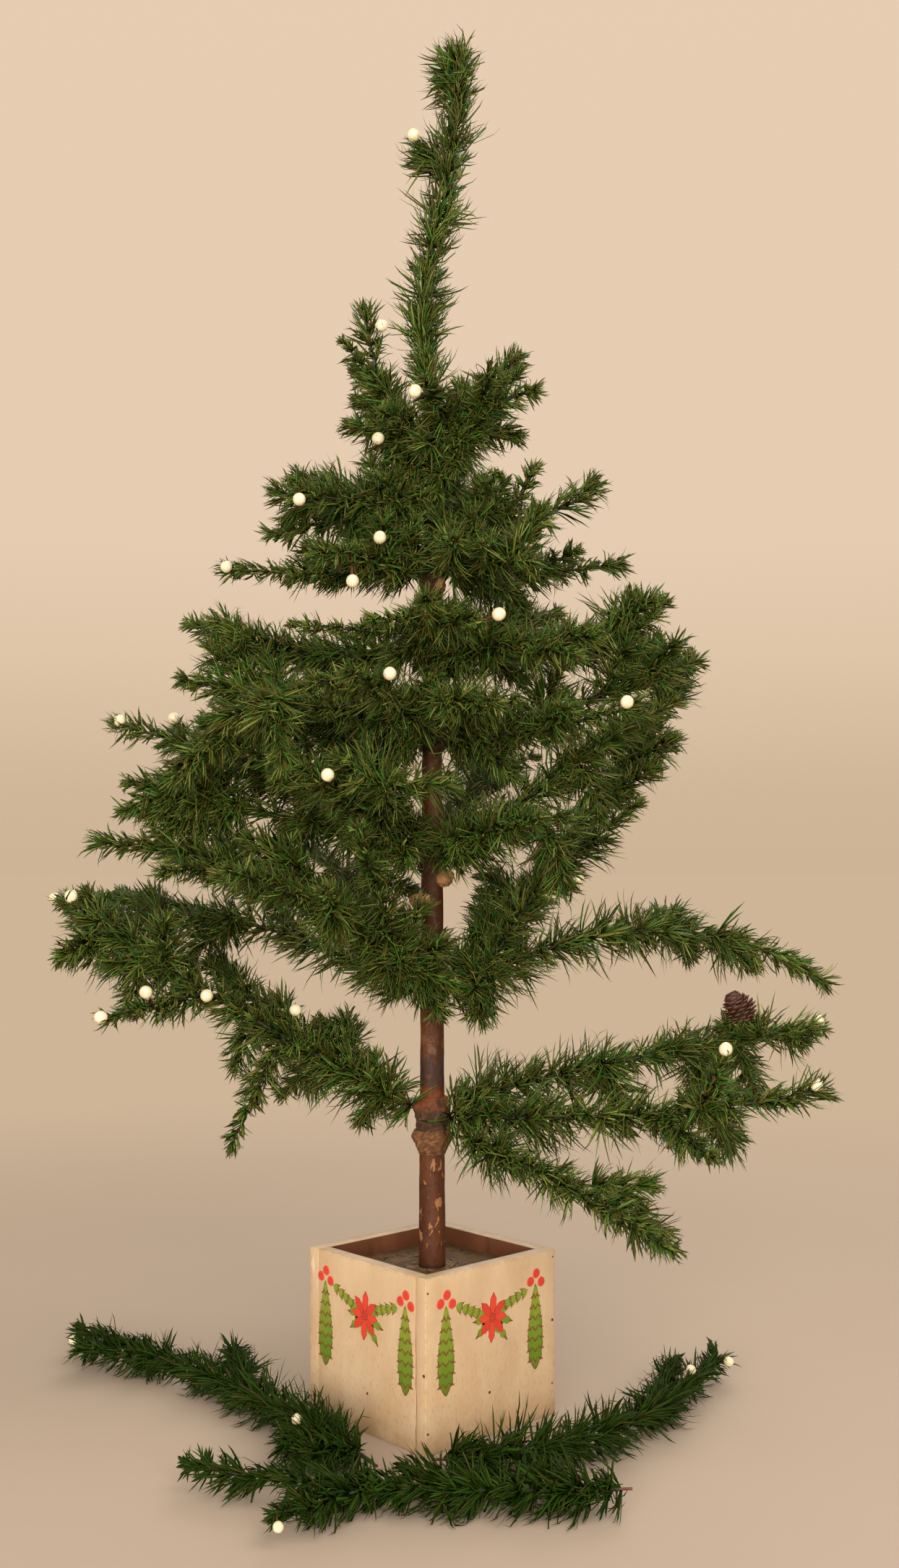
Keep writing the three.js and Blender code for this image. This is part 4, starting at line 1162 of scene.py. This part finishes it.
def barbsOn(line, kind, rng, share=1.0, girth=1.0, back=0.0, flat=None):
    kind, own, end = feathers["kinds"][kind], feathers["own"], feathers["end"]
    total, clump, tuft, length = lengthOf(line), feathers["clump"], kind["tuft"], kind["length"] * share
    clumps = int((total + back) * kind["density"] / clump)
    around = 2 * math.pi

    def shared(values, spread):  # the same for a clump, with a little of its own for each barb
        return np.repeat(values, clump) + rng.normal(0, spread, clumps * clump)

    middle = rng.random(clumps) ** feathers["rootward"] * (total + back) - back
    middle += feathers["bunching"] * np.sin(around * middle / feathers["ring"] + rng.uniform(0, feathers["phase"]))
    spots = np.concatenate([shared(middle, own["place"]), total - rng.random(tuft) ** 2 * end["length"]])
    share = np.clip(spots / total, 0, 1)
    base, forward, side, over = framesAlong(line, np.minimum(spots, total))
    count = len(spots)
    angle = np.concatenate([shared(rng.uniform(0, around, clumps), own["angle"]), rng.uniform(0, around, tuft)])
    out = outwards(side, over, angle)
    low, high = [first + (last - first) * share for first, last in zip(*kind["lean"])]
    lean = low + (high - low) * np.concatenate([shared(rng.random(clumps), own["lean"]), rng.random(tuft)])
    lean[-tuft:] = rng.uniform(*end["lean"], tuft)
    lean = np.radians(lean)[:, None]
    way = forward * np.cos(lean) + out * np.sin(lean)
    ragged = sum(
        depth * np.sin(spots / wave + rng.uniform(0, feathers["phase"]))
        for depth, wave in zip(feathers["ragged"], feathers["waves"])
    )
    grown = np.interp(share, feathers["grownAt"], kind["grown"])
    size = length * grown * (1 + ragged) * rng.uniform(*feathers["sizes"], count)
    size[-tuft:] *= kind["tip"]
    across = unit(np.cross(way, forward))
    slant = shared(rng.normal(0, kind["sideways"], clumps), own["slant"])
    slant = np.concatenate([slant, rng.uniform(0, end["slant"], tuft)])[:, None]
    aside = np.cross(across, way) * np.cos(slant) + across * np.sin(slant)
    curl = np.concatenate([shared(rng.normal(*kind["curl"], clumps), own["curl"]), rng.normal(*end["curl"], tuft)])
    rare, wider = feathers["broad"]
    broad = girth * rng.uniform(*feathers["girths"], count) * np.where(rng.random(count) < rare, wider, 1.0)
    tone = np.concatenate([np.repeat(rng.random(clumps), clump), rng.random(tuft)])
    tone = tone * (1 - own["tone"]) + rng.random(count) * own["tone"]
    twist = rng.normal(0, feathers["twist"], count)
    return barbCopies(base + out * feathers["inset"], way, aside, curl, size, broad, twist, tone, flat)


def sheathOn(line, rng):  # long barbs that rise steeply round the foot of the leader
    sheath = feathers["sheath"]
    count = sheath["count"]
    base, forward, side, over = framesAlong(line, rng.uniform(sheath["from"], sheath["to"], count))
    out = outwards(side, over, rng.uniform(0, 2 * math.pi, count))
    lean = np.radians(sheath["lean"] + rng.normal(0, 5, count))[:, None]
    way = forward * np.cos(lean) + out * np.sin(lean)
    inward = np.cross(unit(np.cross(way, forward)), way)
    size = sheath["length"] * rng.uniform(0.6, 1.05, count)
    curl, girth = rng.normal(sheath["curl"], 0.15, count), np.full(count, sheath["girth"])
    return barbCopies(base, way, inward, curl, size, girth, rng.normal(0, 0.3, count), rng.random(count))


def stemParts(root, lines):
    paths, wires = [], []
    for index, line in enumerate(lines):
        radii = np.linspace(feathers["core"], feathers["core"] * 0.6, len(line)) * (1 if index == 0 else 0.7)
        paths.append((line, radii))
        tip = line[-1] + unit(line[-1] - line[-2]) * 5.0
        wires.append(([line[-2], line[-1], tip], [0.45, 0.45, 0.4]))
    wires.append(([root, lines[0][0], lines[0][1]], [0.85, 0.85, 0.85]))
    return [tubeParts(paths, 6, 1), tubeParts(wires, 6, 2)]


def branchPiece(name, root, lines, body, node, seed, girth=1.0, flat=None):
    rng = np.random.default_rng(seed)
    branch = name.replace("feathers_", "")
    parts = []
    for index, line in enumerate(lines):
        kind = "leader" if node == "leader" else "twig" if index else "stem"
        back = 0 if index or flat is not None else feathers["back"]
        back = -bare[branch] if branch in bare and index < 2 else back
        parts.append(barbsOn(line, kind, rng, slim.get(branch, {}).get(index, 1), girth, back, flat))
    for place, bearing, rise, *given in tufts.get(branch, []):
        reach = given[0] if given else feathers["usual"]
        foot = pointAt(lines[int(place)], place % 1)
        line = np.array([foot + headingOf(bearing, rise) * reach * share for share in (0, 0.25, 0.5, 0.75, 1)])
        line[:, 2] -= np.array([0, 0.06, 0.25, 0.56, 1]) * reach * feathers["sag"]
        parts.append(barbsOn(line, "side", rng, 1.0, girth, 4, flat))
    if node == "leader":
        parts.append(sheathOn(lines[0], rng))
    parts += stemParts(root, lines)
    finish = "feather" if flat is None else "fallen"
    settle(meshFrom(name, parts, [finish, "quill", "wire"]), body, [node])


placedLines = {}


def makeBranches():
    roots = {joint["name"]: joint["pos_m"] for joint in frame["joints"] if "pos_m" in joint}
    for seed, (name, (bearing, rise, share, twigs)) in enumerate(branches.items()):
        root = np.array(roots[name + "_bend"]) / mm
        lines = branchLines(root, bearing, rise, (0, 0, 0), feathers["longest"] * share, twigs)
        placedLines[name] = lines
        branchPiece("feathers_" + name, root, lines, "bough_" + name, "branch_" + name, seed)
    root = np.array([0, 0, trunkSizes["high"] + leaderShape["gap"]])
    length = leaderShape["top"] - root[2] - feathers["pitch"] * leaderShape["lean"]
    lines = branchLines(root, leaderShape["bearing"], leaderShape["rise"], (0, 0, 0), length, leaderShape["twigs"])
    lines[1] = lines[1][:int(len(lines[1]) * leaderShape["twigShown"])]
    for line in lines:
        risen = np.clip((line[:, 2] - leaderShape["bulgeFrom"]) / leaderShape["bulgeOver"], 0, 1)[:, None]
        line += rightward * leaderShape["bulge"] * risen
    placedLines["leader"] = lines
    branchPiece("feathers_leader", root, lines, "stand", "leader", 90)
    for seed, (name, (distance, buttBearing, bearing, turn, share, twigs)) in enumerate(looseRows.items()):
        root = headingOf(buttBearing, 0) * boxSizes["side"] * distance
        root[2] = looseLift
        lines = branchLines(root, bearing, (looseRise,) * 3, turn, feathers["longest"] * share, twigs)
        placedLines[name] = lines
        lying = (feathers["looseGirth"], feathers["looseFloor"])
        branchPiece("feathers_" + name, root, lines, name, "branch_" + name, 100 + seed, *lying)


# Berries, each on its peg, as [branch, line, share along it, then right, up and nearer than that place]
berries = {
    "radius": 4.1, "stretch": 1.07, "peg": 0.55,
    "small": {"loose_front": 0.74, "loose_left": 0.9, "loose_right": 0.84},
}
berryRows = [
    ("leader", 1, 1, -8, 7, 15), ("eighth_front", 1, 1, -5.3, -8.6, 8), ("eighth_left", 0, 0.94, 9.7, -3, 4),
    ("eighth_left", 0, 0.14, -14, -14, 20), ("seventh_left", 3, 1, 1.1, -7, 10),
    ("sixth_front_left", 0, 0.44, 3.8, 12.3, 16), ("sixth_left", 0, 1, 0.1, 0.4, 7),
    ("sixth_front_left", 0, 0.7, 1.4, -17.7, 10), ("fifth_front", 1, 1, 10, 3, 9),
    ("fourth_front", 0, 0.61, 6.4, 8.8, 18), ("fourth_right", 0, 0.96, -0.3, 2.9, 11),
    ("upper_left", 2, 1, -2.3, 7.5, 9), ("upper_front", 0, 0.79, 1.5, 3.6, 20),
    ("sweep_right", 1, 0.14, 9, -11, 15), ("mid_left", 0, 1, -5.2, 3.5, 7),
    ("low_left", 2, 0.56, -2.3, 9.8, 17), ("low_left", 0, 0.57, -0.4, 0.9, 21),
    ("low_left", 4, 0.54, 7.2, 10.9, 25), ("low_left", 2, 1, -3.9, 0.5, 7),
    ("low_right_fork", 0, 0.7, 12.2, 37.3, 10), ("loose_left", 0, 1, -2.2, -5.0, 7),
    ("loose_left", 0, 0.25, -0.2, 7.4, 22), ("loose_front", 1, 0.99, 2, -4, 7),
    ("loose_right", 0, 0.85, -6, 8, 10), ("loose_right", 0, 1, 8, 0, 5),
]


def berryTemplate():
    bm = bmesh.new()
    bmesh.ops.create_uvsphere(bm, u_segments=20, v_segments=12, radius=1.0)
    return templateOf(bm, run=lambda co: max(0.0, -co.z) ** 6)


def makeBerries():
    ball = berryTemplate()
    spots = {}  # the foot and the middle of each berry, by branch
    for branch, line, share, right, up, near in berryRows:
        foot = pointAt(placedLines[branch][line], share)
        spots.setdefault(branch, []).append((foot, foot + rightward * right + nearward * near + (0, 0, up)))
    given = [node for node in frame["nodes"] if node.startswith("berry_")]
    for node in given:
        low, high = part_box(node)
        branch = node.replace("berry_", "")
        spots.setdefault(branch, []).append((placedLines[branch][0][-1], np.array(low + high) / 2 / mm))
    for branch, places in spots.items():
        rng = np.random.default_rng(len(branch))
        stack, pegs = [], []
        for foot, middle in places:
            way = unit(middle - foot)
            helper = np.array([1.0, 0, 0]) if abs(way[2]) > 0.8 else np.array([0, 0, 1.0])
            side = unit(np.cross(helper, way))
            radius = berries["radius"] * berries["small"].get(branch, 1)
            local = ball["points"] * radius * (1, 1, berries["stretch"])
            stack.append(middle + local @ np.stack([side, np.cross(way, side), way]))
            pegs.append(([foot, foot * 0.5 + middle * 0.5 + (0, 0, 0.5), middle - way * 3], [berries["peg"]] * 3))
        parts = [copiesOf(ball, np.array(stack), rng.random(len(stack))), tubeParts(pegs, 6, 1)]
        body = {"leader": "stand"}.get(branch, branch if branch.startswith("loose") else "bough_" + branch)
        node = ["berry_" + branch] if "berry_" + branch in given else []
        settle(meshFrom("berries_" + branch, parts, ["berry", "peg"]), body, node)


# The small fir cone on the low right branch
cone = {
    "share": 0.8, "lift": 9.5, "bearing": 220, "lean": 62, "radius": 12, "length": 25, "core": 0.62, "stalk": 0.9,
    "scales": 84, "turn": 2.39996, "tilt": (96, -72, 4), "scaleLength": (4.2, 2.6), "scaleSize": (5.4, 5.0),
}


def scaleTemplate():  # one wide and one long, its root at zero, flaring towards its tip
    bm = bmesh.new()
    bmesh.ops.create_uvsphere(bm, u_segments=8, v_segments=5, radius=0.5)
    for vert in bm.verts:
        long = vert.co.y + 0.5
        vert.co = Vector((vert.co.x * (0.5 + 0.8 * long), long, vert.co.z * 0.24 - 0.12 * long * long))
    return templateOf(bm, run=lambda co: co.y)


def makeCone():
    scale = scaleTemplate()
    stem = pointAt(placedLines["low_right"][0], cone["share"])
    foot = stem + (0, 0, cone["lift"])
    axis = headingOf(cone["bearing"], cone["lean"])
    side = unit(np.cross(axis, (0, 0, 1.0)))
    over = np.cross(axis, side)
    rng = np.random.default_rng(5)
    tiltFoot, tiltMore, tiltSpread = cone["tilt"]
    short, more = cone["scaleLength"]
    wideness, thickness = cone["scaleSize"]
    stack = []
    for index in range(cone["scales"]):
        share = (index + 0.5) / cone["scales"]
        angle = index * cone["turn"]
        out = side * math.cos(angle) + over * math.sin(angle)
        girth = cone["radius"] * math.sin(math.pi * (0.2 + 0.72 * share))
        tilt = math.radians(tiltFoot + tiltMore * share + rng.normal(0, tiltSpread))
        way = out * math.sin(tilt) + axis * math.cos(tilt)
        length = short + more * math.sin(math.pi * (0.15 + 0.75 * share))
        along = cone["length"] * (0.08 + 0.84 * share) - length * math.cos(tilt)
        root = foot + axis * along + out * max(0.4, girth - length * math.sin(tilt))
        wide = unit(np.cross(way, axis if share < 0.94 else side))
        local = scale["points"] * (wideness, length, thickness)
        stack.append(root + local @ np.stack([wide, way, np.cross(wide, way)]))
    shares = np.linspace(0.02, 0.9, 8)
    core = [foot + axis * cone["length"] * share for share in shares]
    radii = [cone["radius"] * cone["core"] * math.sin(math.pi * (0.18 + 0.72 * share)) for share in shares]
    parts = [
        copiesOf(scale, np.array(stack), rng.random(cone["scales"])),
        tubeParts([(core, radii)], 10, 0, 0.8),
        tubeParts([([stem, foot, foot + axis * 2], [cone["stalk"]] * 3)], 8, 0, 0.8),
    ]
    settle(meshFrom("cone_scales", parts, ["cone"]), "bough_low_right", ["fir_cone"])


# Dropped barbs on the lid
dropped = {
    "count": 34, "inner": 13, "outer": 44, "lift": 0.35, "length": (5, 15), "curl": 0.6, "girth": 0.55,
    "tone": 0.5,
}


def makeDropped():
    rng = np.random.default_rng(8)
    count = dropped["count"]
    spots = rng.uniform(-dropped["outer"], dropped["outer"], (count, 2))
    spots = spots[np.linalg.norm(spots, axis=1) > dropped["inner"]]
    count = len(spots)
    base = np.column_stack([spots, np.full(count, lidTop / mm + dropped["lift"])])
    angle = rng.uniform(0, 2 * math.pi, count)
    way = np.column_stack([np.cos(angle), np.sin(angle), np.zeros(count)])
    way *= np.where(np.sum(way * base, axis=1, keepdims=True) > 0, -1, 1)  # none reaches into a wall
    size = rng.uniform(*dropped["length"], count)
    curl, tone = rng.normal(0, dropped["curl"], count), rng.random(count) * dropped["tone"]
    aside, flat = np.cross((0, 0, 1.0), way), np.full(count, math.pi / 2)
    part = barbCopies(base, way, aside, curl, size, flat * dropped["girth"], flat, tone)
    settle(meshFrom("dropped_barbs", [part], ["feather"]), "stand")


makeTrunk()
makeCollar()
for index, share in enumerate(whorls["shares"]):
    middle = whorls["treeHeight"] * share
    roots = [Vector(joint["pos_m"]) / mm for joint in frame["joints"] if "pos_m" in joint]
    near = [root for root in roots if abs(root.z - middle) < whorls["band"] / 2 + 2]
    bindingPiece("binding_%d" % (index + 1), middle, whorls["band"], near)
bindingPiece("leader_binding", *whorls["leader"], [])
makeLumps()
makeDropped()
print("trunk made")
makeBranches()
print("branches made")
makeBerries()
makeCone()
print("berries and cone made")
